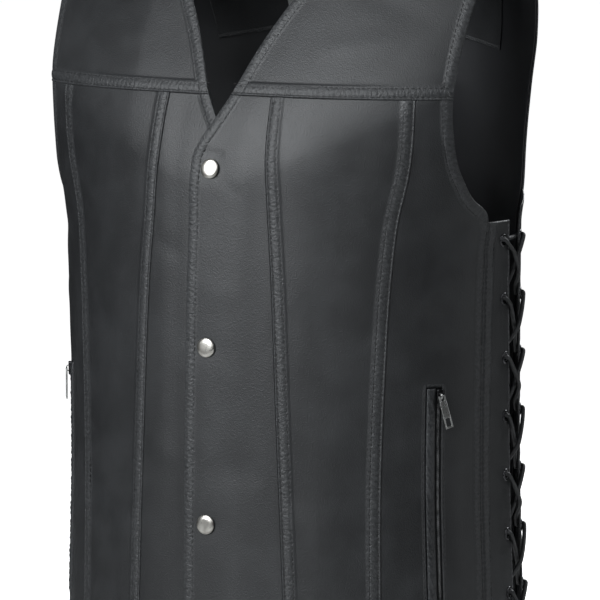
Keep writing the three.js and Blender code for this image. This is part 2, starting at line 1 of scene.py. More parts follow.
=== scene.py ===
# Leather vest with a snap front, zipped pockets and laced sides, dressed for a studio picture.
# Blender 4.5. Sizes in the dictionaries are millimetres, as in the vest's pattern; meshes are in metres.
# A place on the cloth is an angle round the body, from the centre front towards the wearer's left,
# and a height. The front faces -Y.
import bpy
import numpy as np
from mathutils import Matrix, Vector


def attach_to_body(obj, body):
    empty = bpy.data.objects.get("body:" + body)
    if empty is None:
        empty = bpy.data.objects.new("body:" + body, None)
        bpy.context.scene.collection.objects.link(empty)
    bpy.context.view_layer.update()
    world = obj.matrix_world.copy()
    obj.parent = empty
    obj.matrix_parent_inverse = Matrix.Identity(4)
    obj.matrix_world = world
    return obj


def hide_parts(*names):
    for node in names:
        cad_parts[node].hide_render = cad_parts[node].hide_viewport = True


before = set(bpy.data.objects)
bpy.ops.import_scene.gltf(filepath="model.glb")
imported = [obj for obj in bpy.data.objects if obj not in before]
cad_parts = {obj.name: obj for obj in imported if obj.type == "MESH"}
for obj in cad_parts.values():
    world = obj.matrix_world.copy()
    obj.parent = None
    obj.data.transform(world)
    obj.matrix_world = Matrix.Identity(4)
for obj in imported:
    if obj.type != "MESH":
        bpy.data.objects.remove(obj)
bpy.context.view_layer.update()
scene = bpy.context.scene
scene.view_settings.view_transform = "Standard"
print("frame loaded")

sides = {"left": 1, "right": -1}

# Camera, light and floor

camera = {"azimuth": 30, "elevation": 6.8, "distance": 4.5, "lens": 348.4, "across": 0.0031, "height": -0.313}
studio = {
    "key": {"azimuth": -20, "elevation": 21, "distance": 2.5, "size": (0.75, 1.5), "power": 56},
    "top": {"azimuth": 12, "elevation": 38, "distance": 2.5, "size": (1.8, 2.6), "power": 29},
    "rim": {"azimuth": 98, "elevation": 38, "distance": 2.5, "size": (0.7, 0.7), "power": 7},
    "left": {"azimuth": -90, "elevation": 18, "distance": 2.5, "size": (1.2, 1.2), "power": 1.4},
    "right": {"azimuth": 108, "elevation": 0, "distance": 2.5, "size": (1.2, 1.4), "power": 5},
    "back": {"azimuth": 172, "elevation": 34, "distance": 2.6, "size": (1.6, 1.3), "power": 42},
    "worldLight": 0.012, "worldSeen": 1.0, "lampColour": (0.945, 0.975, 1.0),
    "floorHeight": -0.82, "floorSize": 60.0, "floorPale": (0.6, 1.35), "bounceSize": 3.0, "bounceShare": 0.7,
    "aim": -0.32,
}


def direction(azimuth, elevation):
    turn, lift = np.radians(azimuth), np.radians(elevation)
    return Vector((np.sin(turn) * np.cos(lift), -np.cos(turn) * np.cos(lift), np.sin(lift)))


def aimAt(thing, place, target):
    thing.location = place
    thing.rotation_mode = "QUATERNION"
    thing.rotation_quaternion = (target - place).to_track_quat("-Z", "Y")


def makeCamera():
    turn = np.radians(camera["azimuth"])
    target = Vector((camera["across"] * np.cos(turn), camera["across"] * np.sin(turn), camera["height"]))
    data = bpy.data.cameras.new("camera")
    data.lens = camera["lens"]
    data.sensor_width = 36
    data.clip_end = 60
    seen = bpy.data.objects.new("camera", data)
    scene.collection.objects.link(seen)
    aimAt(seen, target + direction(camera["azimuth"], camera["elevation"]) * camera["distance"], target)
    scene.camera = seen


def makeLights():
    middle = Vector((0, 0, studio["aim"]))
    for name in ("key", "top", "rim", "left", "right", "back"):
        lamp = studio[name]
        data = bpy.data.lights.new(name, "AREA")
        data.shape = "RECTANGLE"
        data.size, data.size_y = lamp["size"]
        data.energy = lamp["power"]
        data.color = studio["lampColour"]
        light = bpy.data.objects.new(name, data)
        scene.collection.objects.link(light)
        aimAt(light, middle + direction(lamp["azimuth"], lamp["elevation"]) * lamp["distance"], middle)


def makeWorld():
    # White to the camera and dim to everything else
    world = bpy.data.worlds.new("studio")
    scene.world = world
    world.use_nodes = True
    tree = world.node_tree
    tree.nodes.clear()
    shades = []
    for strength in (studio["worldLight"], studio["worldSeen"]):
        shade = tree.nodes.new("ShaderNodeBackground")
        shade.inputs["Strength"].default_value = strength
        shade.inputs["Color"].default_value = (1, 1, 1, 1)
        shades.append(shade)
    rays = tree.nodes.new("ShaderNodeLightPath")
    both = tree.nodes.new("ShaderNodeMixShader")
    out = tree.nodes.new("ShaderNodeOutputWorld")
    tree.links.new(rays.outputs["Is Camera Ray"], both.inputs[0])
    for i, shade in enumerate(shades):
        tree.links.new(shade.outputs[0], both.inputs[i + 1])
    tree.links.new(both.outputs[0], out.inputs[0])


makeCamera()
makeLights()
makeWorld()
print("camera and lights made")

# The body's form, as in the pattern

form = {
    "neckX": 80, "tipX": 188, "neckHeight": 20, "slope": 0.36, "ridgeY": 8, "fullX": 214,
    # reach of the shoulder's rounding at the neck and at the tip, and the power of its section
    "front": (245, 117, 1.6), "back": (150, 95, 1.75), "frontPower": 0.92,
    "innerSlope": 0.35, "reachMost": 1.15, "reachPower": 1.5,
    # height, half width, front depth, back depth, back power
    "sections": np.array([
        (-654, 190, 138, 144, 1.05), (-600, 188.5, 137.5, 142, 1.05), (-530, 186.3, 137, 140, 1.03),
        (-440, 183.5, 137, 136, 1), (-340, 185, 136, 130, 1.03), (-280, 187.5, 134.5, 127, 1.1),
        (-236, 191.5, 132.5, 126, 1.22), (-200, 200.5, 131, 127, 1.2), (-150, 209.5, 127, 128, 1.12),
        (-90, 212, 120, 127, 1.05), (40, 214, 120, 126, 1.05),
    ]),
}

# Cut lines: the angle of an edge or seam at some heights
cuts = {
    "frontEdge": [
        (-654, -6.2), (-376, -5.7), (-253, -5.1), (-200, -4.7), (-190, -4.4), (-181, -3.3), (-160, 0.3),
        (-143, 2.9), (-120, 5.7), (-86, 10.6), (-74, 12.6), (-40, 16.8), (0, 19.8), (40, 21.3), (72.4, 21.9),
    ],
    "innerSeam": [
        (-654, 20.6), (-530, 19.9), (-460, 19.3), (-380, 18.2), (-330, 17.4), (-280, 16.4), (-225, 14.6),
        (-190, 13.2), (-145, 12.2),
    ],
    "outerSeam": [
        (-654, 44.6), (-530, 45), (-440, 45.6), (-370, 46.2), (-300, 46.9), (-240, 47.8), (-200, 48.5),
        (-145, 47.3),
    ],
    "frontSide": [
        (-654, 78.7), (-430, 79), (-330, 78.5), (-262, 77.8), (-240, 77.6), (-232.5, 76.3), (-222, 70.2),
        (-206, 64.7), (-170, 58.8), (-148, 57.5), (-128, 57.6), (-72, 58.8), (11.2, 60.7),
    ],
    "backSide": [
        (-654, 123.2), (-496, 123), (-341, 120.6), (-262, 117.5), (-222, 117.2), (-205, 122), (-180, 126),
        (-150, 127.5), (-110, 125), (-72, 122), (-19, 119.3),
    ],
    "laceEdge": [(-654, 95.4), (-496, 95), (-418, 94.2), (-341, 92.6), (-290, 90.5), (-240, 88)],
}
cuts = {name: np.array(rows, float) for name, rows in cuts.items()}
pattern = {
    "leather": 1.4, "liningCloth": 1.0, "seamGap": 0.3, "seamMeet": 0.02, "seamMeetAngle": 0.008, "hem": -654,
    "yoke": -145, "sideTop": -240, "backFoot": -222, "backEdgeTop": -231, "laceGapAngle": 12.5, "neckAngle": 158.1,
    "tipAngle": 119.3, "lapShift": 0.85, "lapAngles": (7.5, 13), "lapHeights": (-158, -128), "perDegree": 2.45,
}


def fade(start, end, value):
    # 0 before the start, 1 after the end, three squares less two cubes between
    share = np.clip((value - start) / (end - start), 0, 1)
    return share * share * (3 - 2 * share)


def mix(start, end, share):
    return start + (end - start) * share


def readTable(table, column, height):
    # A cubic between two rows, whose slope at a row is that of the parabola through three rows
    x, y = table[:, 0], table[:, column]
    step = np.diff(x)
    rise = np.diff(y) / step
    inner = (step[1:] * rise[:-1] + step[:-1] * rise[1:]) / (step[:-1] + step[1:])
    slope = np.concatenate([rise[:1], inner, rise[-1:]])
    at = np.clip(height, x[0], x[-1])
    row = np.clip(np.searchsorted(x, at, side="right") - 1, 0, len(x) - 2)
    share = (at - x[row]) / step[row]
    square, cube = share ** 2, share ** 3
    ends = (2 * cube - 3 * square + 1) * y[row] + (3 * square - 2 * cube) * y[row + 1]
    return ends + (cube - 2 * square + share) * step[row] * slope[row] + (cube - square) * step[row] * slope[row + 1]


def cutAt(name, height):
    if name == "backLaceEdge":
        return readTable(cuts["laceEdge"], 1, height) + pattern["laceGapAngle"]
    return readTable(cuts[name], 1, height)


def sideOf(angle, index):
    return np.where(np.cos(np.radians(angle)) < 0, form["back"][index], form["front"][index])


def ridgeHeight(angle):
    beyond = np.abs(form["fullX"] * np.sin(np.radians(angle))) - form["neckX"]
    return form["neckHeight"] - form["slope"] * beyond * np.where(beyond > 0, 1, form["innerSlope"])


def reachAt(angle):
    across = np.abs(form["fullX"] * np.sin(np.radians(angle))) / form["tipX"]
    return mix(sideOf(angle, 0), sideOf(angle, 1), np.minimum(across, form["reachMost"]) ** form["reachPower"])


def seamHeight(angle):
    return ridgeHeight(angle) + reachAt(angle) / 4


def formPoint(angle, height):
    # Below the shoulder's rounding an ellipse-like section at the height. In the rounding the depth shrinks
    # towards the ridge as one minus a power of what is left, and the height sinks with the square.
    angle, height = np.broadcast_arrays(np.asarray(angle, float), np.asarray(height, float))
    reach = reachAt(angle)
    below = np.maximum((seamHeight(angle) - height) / reach, 0)
    sunk = np.where(below > 0.5, below - 0.25, below ** 2)
    z = ridgeHeight(angle) - reach * sunk
    power = sideOf(angle, 2)
    share = (1 - np.maximum(1 - sunk, 0) ** power) ** (1 / power)
    cosine = np.cos(np.radians(angle))
    table = form["sections"]
    depth = np.where(
        cosine < 0,
        -readTable(table, 3, z) * np.abs(cosine) ** readTable(table, 4, z),
        readTable(table, 2, z) * np.abs(cosine) ** form["frontPower"],
    )
    y = form["ridgeY"] - (form["ridgeY"] + depth) * share
    return np.stack([readTable(table, 1, z) * np.sin(np.radians(angle)), y, z], -1)


def unit(vectors):
    return vectors / np.maximum(np.linalg.norm(vectors, axis=-1, keepdims=True), 1e-12)


def formOut(angle, height):
    across = formPoint(angle + 0.25, height) - formPoint(angle - 0.25, height)
    up = formPoint(angle, np.minimum(height + 1, seamHeight(angle))) - formPoint(angle, height - 2)
    return unit(np.cross(across, up))


def clothPoint(angle, height, offset):
    return formPoint(angle, height) + formOut(angle, height) * np.asarray(offset)[..., None]


def clothStep(angle, height, move):
    # The place on the cloth after a small move in space: the form's two slopes there, solved for the move
    byAngle = (formPoint(angle + 0.2, height) - formPoint(angle - 0.2, height)) / 0.4
    byHeight = (formPoint(angle, height) - formPoint(angle, height - 2)) / 2
    aa, bb, ab = (byAngle ** 2).sum(-1), (byHeight ** 2).sum(-1), (byAngle * byHeight).sum(-1)
    am, bm = (byAngle * move).sum(-1), (byHeight * move).sum(-1)
    whole = aa * bb - ab ** 2
    return angle + (bb * am - ab * bm) / whole, height + (aa * bm - ab * am) / whole


def lapShift(angle, height):
    # Where the fronts lap, the wearer's left one lies outside and the right one inside
    away = 1 - fade(*pattern["lapAngles"], np.abs(angle))
    return pattern["lapShift"] * away * (1 - fade(*pattern["lapHeights"], height))


# Mesh helpers


def mirrored(points, sign):
    return points * np.array([sign, 1, 1])


def runLengths(points):
    return np.linalg.norm(np.diff(points, axis=-2), axis=-1).sum(-1)


def waysAlong(points, axis=0):
    # How far each point of a path, or of each line of a grid, is from its first one
    return np.insert(np.cumsum(np.linalg.norm(np.diff(points, axis=axis), axis=-1), axis), 0, 0, axis=axis)


def makeObject(name, points, faces, materials, faceMaterial=None, uv=None, seam=None, smooth=True):
    # Points in millimetres, faces as one or more index arrays; uv and seam are one pair for each point
    lists = [f for group in faces for f in np.asarray(group).tolist()]
    mesh = bpy.data.meshes.new(name)
    mesh.from_pydata((np.asarray(points) / 1000).tolist(), [], lists)
    for material in materials:
        mesh.materials.append(material)
    if faceMaterial is not None:
        mesh.polygons.foreach_set("material_index", np.asarray(faceMaterial, np.int32))
    corners = np.zeros(len(mesh.loops), np.int32)
    mesh.loops.foreach_get("vertex_index", corners)
    for layer, values in (("cloth", uv), ("seam", seam)):
        if values is not None:
            flat = np.asarray(values, np.float32)[corners].ravel()
            mesh.uv_layers.new(name=layer).data.foreach_set("uv", flat)
    mesh.polygons.foreach_set("use_smooth", np.full(len(mesh.polygons), smooth))
    mesh.update()
    made = bpy.data.objects.new(name, mesh)
    scene.collection.objects.link(made)
    return made


def attach(piece, node=None, body="vest"):
    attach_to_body(piece, body)
    if node:
        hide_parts(node)


def gridFaces(rowCount, columnCount, isLeftOut=None):
    # One quad for each cell of a grid, whose points run along its rows
    corner = np.arange(rowCount - 1)[:, None] * columnCount + np.arange(columnCount - 1)
    corner = corner[~isLeftOut] if isLeftOut is not None else corner.ravel()
    return np.stack([corner, corner + 1, corner + columnCount + 1, corner + columnCount], 1)


def ringFaces(ringCount, count, isLoop=False):
    # One quad for each cell between rings of points; a loop's last ring joins its first
    row, column = np.meshgrid(np.arange(ringCount if isLoop else ringCount - 1), np.arange(count), indexing="ij")
    above, side = (row + 1) % ringCount, (column + 1) % count
    quads = [row * count + column, row * count + side, above * count + side, above * count + column]
    return np.stack(quads, -1).reshape(-1, 4)


def endFaces(ringCount, count):
    return [np.arange(count)[None, ::-1], (ringCount - 1) * count + np.arange(count)[None]]


def closeShell(outer, inner, faces):
    # The outer faces, the inner ones turned round, and a rim quad on every edge that only one outer face has
    count = len(outer)
    start = faces.ravel()
    end = np.roll(faces, -1, axis=1).ravel()
    isRim = ~np.isin(start * count + end, end * count + start)
    start, end = start[isRim], end[isRim]
    rim = np.stack([end, start, start + count, end + count], 1)
    kinds = np.concatenate([np.zeros(len(faces)), np.ones(len(faces)), np.zeros(len(rim))])
    return np.concatenate([outer, inner]), [faces, faces[:, ::-1] + count, rim], kinds


def distanceTo(points, line):
    # Least distance from each point to a line of straight runs, and how far along the line that is
    start, run = line[:-1], np.diff(line, axis=0)
    length = np.maximum(np.linalg.norm(run, axis=1), 1e-9)
    begins = np.concatenate([[0], np.cumsum(length)[:-1]])
    nearest, along = [], []
    for block in np.array_split(points, max(len(points) // 3000, 1)):
        offset = block[:, None] - start[None]
        share = np.clip((offset * run).sum(-1) / length ** 2, 0, 1)
        gap = np.linalg.norm(offset - share[..., None] * run, axis=-1)
        best = gap.argmin(1)
        rows = np.arange(len(block))
        nearest.append(gap[rows, best])
        along.append((begins + share * length)[rows, best])
    return np.concatenate(nearest), np.concatenate(along)


def makeCopies(name, points, faces, centres, axes, look, node=None):
    # Copies of a small shape in one mesh: each point is the place plus its three coordinates along the
    # place's axes
    placed = centres[:, None, :] + np.einsum("pk,nkc->npc", points, axes)
    step = np.arange(len(centres))[:, None, None] * len(points)
    groups = [(group[None] + step).reshape(-1, group.shape[1]) for group in faces]
    attach(makeObject(name, placed.reshape(-1, 3), groups, [look]), node)


def lathe(profile, count, isRing=False):
    # A profile of radius and height turned round the third axis. A ring's profile closes on itself,
    # any other is closed with a flat face at either end.
    profile = np.array(profile, float)
    turn = np.arange(count) / count * 2 * np.pi
    radius, height = profile[:, 0, None], profile[:, 1, None]
    points = np.stack([radius * np.cos(turn), radius * np.sin(turn), height + 0 * turn], -1).reshape(-1, 3)
    ends = [] if isRing else endFaces(len(profile), count)
    return points, [ringFaces(len(profile), count, isRing), *ends]


def axesAt(angle, height, along, sign):
    # Right-handed axes on the cloth, mirrored for the wearer's right: along, sideways and outwards
    outward, along = mirrored(formOut(angle, height), sign), mirrored(along, sign)
    along = unit(along - (along * outward).sum(-1, keepdims=True) * outward)
    return np.stack([along, np.cross(outward, along), outward], 1)


# Shader helper

class Val:
    # A socket on which Python's operators add Math nodes
    def __init__(self, look, socket):
        self.look, self.socket = look, socket

    def math(self, operation, *values):
        return self.look.node("ShaderNodeMath", {"operation": operation}, dict(enumerate(values)))

    def __add__(self, other): return self.math("ADD", self, other)
    def __radd__(self, other): return self.math("ADD", other, self)
    def __sub__(self, other): return self.math("SUBTRACT", self, other)
    def __rsub__(self, other): return self.math("SUBTRACT", other, self)
    def __mul__(self, other): return self.math("MULTIPLY", self, other)
    def __rmul__(self, other): return self.math("MULTIPLY", other, self)
    def __truediv__(self, other): return self.math("DIVIDE", self, other)
    def __pow__(self, other): return self.math("POWER", self, other)

    def sine(self): return self.math("SINE", self)
    def size(self): return self.math("ABSOLUTE", self)
    def fraction(self): return self.math("FRACT", self)

    def ramp(self, start, end):
        # 0 at the start and 1 at the end, smooth between
        return self.look.node(
            "ShaderNodeMapRange", {"interpolation_type": "SMOOTHSTEP"},
            {"Value": self, "From Min": start, "From Max": end},
        )


class Look:
    # A material under construction
    def __init__(self, name):
        self.material = bpy.data.materials.new(name)
        self.material.use_nodes = True
        self.tree = self.material.node_tree
        self.shader = self.tree.nodes["Principled BSDF"]

    def node(self, kind, settings=None, values=None, out=0):
        made = self.tree.nodes.new(kind)
        for name, value in (settings or {}).items():
            setattr(made, name, value)
        for name, value in (values or {}).items():
            self.put(made.inputs[name], value)
        return Val(self, made.outputs[out])

    def put(self, socket, value):
        if isinstance(value, Val):
            self.tree.links.new(value.socket, socket)
        elif isinstance(value, tuple) and len(value) == 3 and socket.type == "RGBA":
            socket.default_value = (*value, 1)
        else:
            socket.default_value = value

    def set(self, **values):
        # Underscores stand for the spaces in the shader's socket names
        for name, value in values.items():
            self.put(self.shader.inputs[name.replace("_", " ")], value)

    def place(self):
        return self.node("ShaderNodeTexCoord", out="Object")

    def uv(self, layer):
        return self.node("ShaderNodeUVMap", {"uv_map": layer})

    def parts(self, vector):
        made = self.tree.nodes.new("ShaderNodeSeparateXYZ")
        self.put(made.inputs[0], vector)
        return [Val(self, made.outputs[i]) for i in range(3)]

    def join(self, x, y, z=0.0):
        return self.node("ShaderNodeCombineXYZ", {}, {0: x, 1: y, 2: z})

    def noise(self, vector, scale, detail=2.0, rough=0.5):
        values = {"Vector": vector, "Scale": scale, "Detail": detail, "Roughness": rough}
        return self.node("ShaderNodeTexNoise", {}, values)

    def cells(self, vector, scale, smoothness=0.4):
        return self.node(
            "ShaderNodeTexVoronoi", {"feature": "SMOOTH_F1"},
            {"Vector": vector, "Scale": scale, "Smoothness": smoothness}, "Distance",
        )

    def blend(self, share, first, second):
        made = self.tree.nodes.new("ShaderNodeMix")
        made.data_type = "RGBA"
        self.put(made.inputs["Factor"], share)
        self.put(made.inputs[6], first)
        self.put(made.inputs[7], second)
        return Val(self, made.outputs[2])

    def bump(self, height, distance, under=None):
        values = {"Height": height, "Distance": distance / 1000, "Strength": 1.0}
        if under is not None:
            values["Normal"] = under
        return self.node("ShaderNodeBump", {}, values)

    def finish(self, share, dark, light, roughShare, roughness, level, normal):
        # A colour and a roughness that each run between two ends, and the relief
        self.set(Base_Color=self.blend(share, dark, light), Roughness=mixRange(roughShare, roughness))
        self.set(Specular_IOR_Level=level, Normal=normal)
        return self.material


def mixRange(value, ends):
    return value * (ends[1] - ends[0]) + ends[0]


# Materials

leatherLook = {
    # the third colour is a painted highlight, laid on the crests of the topstitched band's folds
    "deep": (0.0100, 0.0106, 0.0116), "worn": (0.0190, 0.0200, 0.0215), "paintedHighlight": (0.036, 0.0375, 0.0395),
    "roughness": (0.38, 0.54), "grainScale": 1050, "grain": 0.14, "poreScale": 2500, "pore": 0.05,
    "handle": 0.08, "pucker": 0.6, "puckerLength": 4.2, "bandWidth": 8.6, "swellScale": 46, "patchScale": 14,
}
fullTurn, halfTurn = 6.2832, 3.14159


def makeLeather(name, settings, tint=1.0, roughShift=0.0, puckerShift=1.0):
    # Dyed cowhide: rounded grain cells with pores between them, softer swells from handling, and on a
    # topstitched band short folds that lean across it, one to each stitch. The crests of the band's folds are given a
    # lighter colour, a painted highlight.
    look = Look(name)
    place = look.place()
    grain = look.cells(place, settings["grainScale"], 0.55)
    pores = look.noise(place, settings["poreScale"], 3.0, 0.6)
    swells = look.noise(place, settings["swellScale"], 3.0, 0.55)
    patches = look.noise(place, settings["patchScale"], 2.0, 0.5)
    across, along, _ = look.parts(look.uv("seam"))
    width = settings["bandWidth"] / 1000
    band = 1 - across.ramp(width * 0.9, width * 1.25)
    drift = look.noise(look.join(across * 160, along * 110), 1.0, 2.0) * 9.0
    lean = (along * (fullTurn * 1000 / settings["puckerLength"]) + across * 500 + drift).sine() * 0.5 + 0.5
    folds = look.noise(look.join(across * 210 + along * 160, along * 420 - across * 180), 1.0, 3.0, 0.65)
    pucker = (lean * 0.16 + folds) * band
    wear = (patches * 0.6 + swells * 0.4).ramp(0.38, 0.68)
    deep, worn, paintedHighlightColour = (tuple(c * tint for c in settings[key]) for key in ("deep", "worn", "paintedHighlight"))
    # Painted highlight: the band's fold crests take the lighter third colour
    paintedHighlight = folds.ramp(0.3, 0.72) * band
    look.set(
        Base_Color=look.blend(paintedHighlight, look.blend(wear, deep, worn), paintedHighlightColour),
        Roughness=mixRange(grain * 0.6 + swells * 0.4, [r + roughShift for r in settings["roughness"]]),
        IOR=1.5, Specular_IOR_Level=0.5,
    )
    handle = look.bump(swells, settings["handle"])
    puckered = look.bump(pucker, settings["pucker"] * puckerShift, handle)
    grained = look.bump(grain, settings["grain"], puckered)
    look.set(Normal=look.bump(pores, settings["pore"], grained))
    return look.material


def makeThong():
    # Cut cowhide lace: long fibres drawn out along it and a slightly worn face
    look = Look("thong")
    across, along, _ = look.parts(look.uv("cloth"))
    fibres = look.noise(look.join(across * 1500, along * 120), 1.0, 3.0, 0.6)
    rub = look.noise(look.place(), 120, 2.0).ramp(0.4, 0.7)
    dark, light = (0.009, 0.0095, 0.0105), (0.022, 0.023, 0.025)
    return look.finish(rub, dark, light, fibres, (0.42, 0.6), 0.5, look.bump(fibres, 0.08))


def makeSatin():
    # Black satin lining: fine slanting ribs of floating yarns and broad soft waves, whose crests are painted lighter,
    # a painted sheen
    look = Look("satin")
    across, along, _ = look.parts(look.uv("cloth"))
    yarn = ((across * 0.35 + along) * (fullTurn / 0.00042)).sine() * 0.5 + 0.5
    waves = look.noise(look.place(), 22, 2.0)
    dark, light = (0.012, 0.0125, 0.014), (0.022, 0.0225, 0.025)
    relief = look.bump(yarn, 0.015, look.bump(waves, 0.9))
    # painted sheen: the colour runs lighter on the waves' crests
    return look.finish(waves, dark, light, waves, (0.36, 0.5), 0.55, relief)


def makeTape():
    # Zip tape: a herringbone of matt yarns
    look = Look("zip tape")
    across, along, _ = look.parts(look.uv("cloth"))
    side = (across / 0.0024).fraction() - 0.5
    rib = ((along + side.size() * 0.0024) * (fullTurn / 0.0009)).sine() * 0.5 + 0.5
    dark, light = (0.006, 0.006, 0.007), (0.014, 0.014, 0.015)
    return look.finish(rib, dark, light, rib, (0.75, 0.9), 0.35, look.bump(rib, 0.12))


def makeWoven():
    # Grey-white label cloth: warp and weft over and under each other, slightly uneven
    look = Look("woven")
    across, along, _ = look.parts(look.uv("cloth"))
    warp, weft = ((way * (halfTurn / 0.0009)).sine() for way in (across, along))
    cross = (warp * weft) * 0.5 + 0.5
    slub = look.noise(look.join(across * 60, along * 900), 1.0, 2.0)
    share, dark, light = cross * 0.6 + slub * 0.4, (0.20, 0.205, 0.21), (0.44, 0.445, 0.45)
    return look.finish(share, dark, light, slub, (0.8, 0.92), 0.3, look.bump(cross, 0.2))


def makeSteel(name, dark, light, roughness, scale):
    # Plated metal: a turned or brushed film with small dulled spots
    look = Look(name)
    place = look.place()
    brush = look.noise(place, scale, 3.0, 0.6)
    dull = look.noise(place, scale / 6, 2.0)
    look.set(Metallic=1.0)
    share, rough = dull.ramp(0.35, 0.7), brush * 0.5 + dull * 0.5
    return look.finish(share, light, dark, rough, roughness, 0.5, look.bump(brush, 0.01))


def makeThread(name, dark, light):
    # Bonded thread: two plies twisted round each other
    look = Look(name)
    twist = look.noise(look.place(), 1400, 2.0)
    return look.finish(twist, dark, light, twist, (0.45, 0.65), 0.5, look.bump(twist, 0.05))


leather = makeLeather("leather", leatherLook)
binding = makeLeather("lacing strip leather", leatherLook, 1.15, 0.02)
# The welt's copy is painted 1.4 times lighter, a painted highlight on its roll and ruffles; it is also glossier and
# more puckered
weltHighlightLeather = makeLeather("welt leather with painted highlight", leatherLook, 1.4, -0.08, 1.5)
thong, satin, tapeCloth, wovenCloth = makeThong(), makeSatin(), makeTape(), makeWoven()
thread = makeThread("thread", (0.004, 0.004, 0.0045), (0.014, 0.0145, 0.0155))
# The thread of the lacing strips' free edges is a paler copy of the black thread, a painted highlight on those
# stitches
paintedHighlightThread = makeThread("rubbed thread", (0.06, 0.061, 0.064), (0.20, 0.204, 0.21))
capSteel = makeSteel("cap steel", (0.42, 0.40, 0.37), (0.64, 0.62, 0.575), (0.22, 0.36), 900)
zipSteel = makeSteel("zip steel", (0.45, 0.45, 0.44), (0.72, 0.72, 0.71), (0.2, 0.36), 1200)
gunmetal = makeSteel("eyelet metal", (0.03, 0.03, 0.032), (0.10, 0.10, 0.105), (0.2, 0.34), 1500)
toothSteel = makeSteel("zip tooth metal", (0.09, 0.09, 0.092), (0.26, 0.26, 0.265), (0.25, 0.4), 1200)
print("materials made")

# Laces (the cords come first)

lace = {
    "count": 9, "first": -255, "spacing": 45.4, "fromEdge": 3.2, "diameter": 3.2, "squareness": 2.6,
    "under": -3.4, "over": 2.4, "crossOver": 2.3, "crossUnder": -1.2, "tail": 62, "tailLean": 1.2, "runs": 10,
    "lean": np.array([0.36, 0.36, 0.1]), "sides": 12, "girth": 0.0101,
}


def eyeletHeight(row):
    return lace["first"] - lace["spacing"] * row


def eyeletAngle(height, isFront):
    if isFront:
        return cutAt("laceEdge", height) - lace["fromEdge"]
    return cutAt("backLaceEdge", height) + lace["fromEdge"]


def laceStrand(startsInFront):
    # Out of an eyelet, over its own strip's edge, across the gap and under the opposite edge, row by row
    route = []
    for row in range(lace["count"]):
        isFront = (row % 2 == 0) == startsInFront
        height = eyeletHeight(row)
        angle = float(eyeletAngle(height, isFront))
        route += [(angle, height, lace["under"]), (angle, height, lace["over"])]
        if row + 1 == lace["count"]:
            break
        nextHeight = eyeletHeight(row + 1)
        nextAngle = float(eyeletAngle(nextHeight, not isFront))
        nextEdge = float(cutAt("backLaceEdge" if isFront else "laceEdge", nextHeight))
        share = (nextEdge - angle) / (nextAngle - angle)
        crossing = lace["crossOver"] if startsInFront else lace["crossUnder"]
        route += [(mix(angle, nextAngle, 0.5), mix(height, nextHeight, 0.5), crossing),
                  (nextEdge, mix(height, nextHeight, share), lace["under"])]
    lean = lace["tailLean"] if isFront else -lace["tailLean"]
    return route + [(angle + lean, height - lace["tail"] / 2, lace["over"]),
                    (angle + lean / 2, height - lace["tail"], lace["over"])]


def smoothPath(points, runs):
    # A curve through the points: each run's ends lean along the line between their neighbours, by less outwards
    # than along the cloth, so that the lace lies down beside its eyelets
    padded = np.concatenate([2 * points[:1] - points[1:2], points, 2 * points[-1:] - points[-2:-1]])
    before, start, end, after = (padded[i:len(points) - 1 + i, None] for i in range(4))
    leanStart, leanEnd = (end - before) * lace["lean"], (after - start) * lace["lean"]
    share = (np.arange(runs) / runs)[None, :, None]
    square, cube = share ** 2, share ** 3
    curve = (2 * cube - 3 * square + 1) * start + (cube - 2 * square + share) * leanStart
    curve = curve + (3 * square - 2 * cube) * end + (cube - square) * leanEnd
    return np.concatenate([curve.reshape(-1, 3), points[-1:]])


def sweep(path, profile, up):
    # A profile carried along a path: sideways is the path's direction crossed with the given outward one
    ahead = unit(np.gradient(path, axis=0))
    sideways = unit(np.cross(ahead, up))
    outward = np.cross(sideways, ahead)
    rings = path[:, None] + profile[None, :, :1] * sideways[:, None] + profile[None, :, 1:] * outward[:, None]
    size = (len(path), len(profile))
    return rings.reshape(-1, 3), [ringFaces(*size), *endFaces(*size)]


def makeLace(name, sign):
    route = np.array(laceStrand(True)[::-1] + laceStrand(False))
    places = smoothPath(route, lace["runs"])
    path = mirrored(clothPoint(*places.T), sign)
    ways = waysAlong(path)
    length, share = ways[-1], np.arange(lace["sides"]) / lace["sides"]
    circle = np.stack([np.cos(share * 2 * np.pi), np.sin(share * 2 * np.pi)], 1)
    profile = np.sign(circle) * np.abs(circle) ** (2 / lace["squareness"]) * lace["diameter"] / 2
    # One outward direction all along would twist it at the eyelets, so it is carried from ring to ring
    ahead = unit(np.gradient(path, axis=0))
    up = np.zeros_like(path)
    up[0] = np.cross(ahead[0], np.cross((sign, 0.0, 0.0), ahead[0]))
    for ring in range(1, len(path)):
        up[ring] = up[ring - 1] - ahead[ring] * (up[ring - 1] @ ahead[ring])
        up[ring] /= np.linalg.norm(up[ring])
    points, faces = sweep(path, profile, up)
    uv = np.stack([np.tile(share * lace["girth"], len(path)), np.repeat(ways / 1000, lace["sides"])], 1)
    made = makeObject(f"{name}_thong", points, faces, [thong], uv=uv)
    tuple(path[0] / 1000)
    (path / 1000).tolist()
    attach(made, name)
    print(name, "length", round(float(length)), "mm")


for side, sign in sides.items():
    makeLace(f"lace_{side}", sign)
print("laces made")

# Leather panels

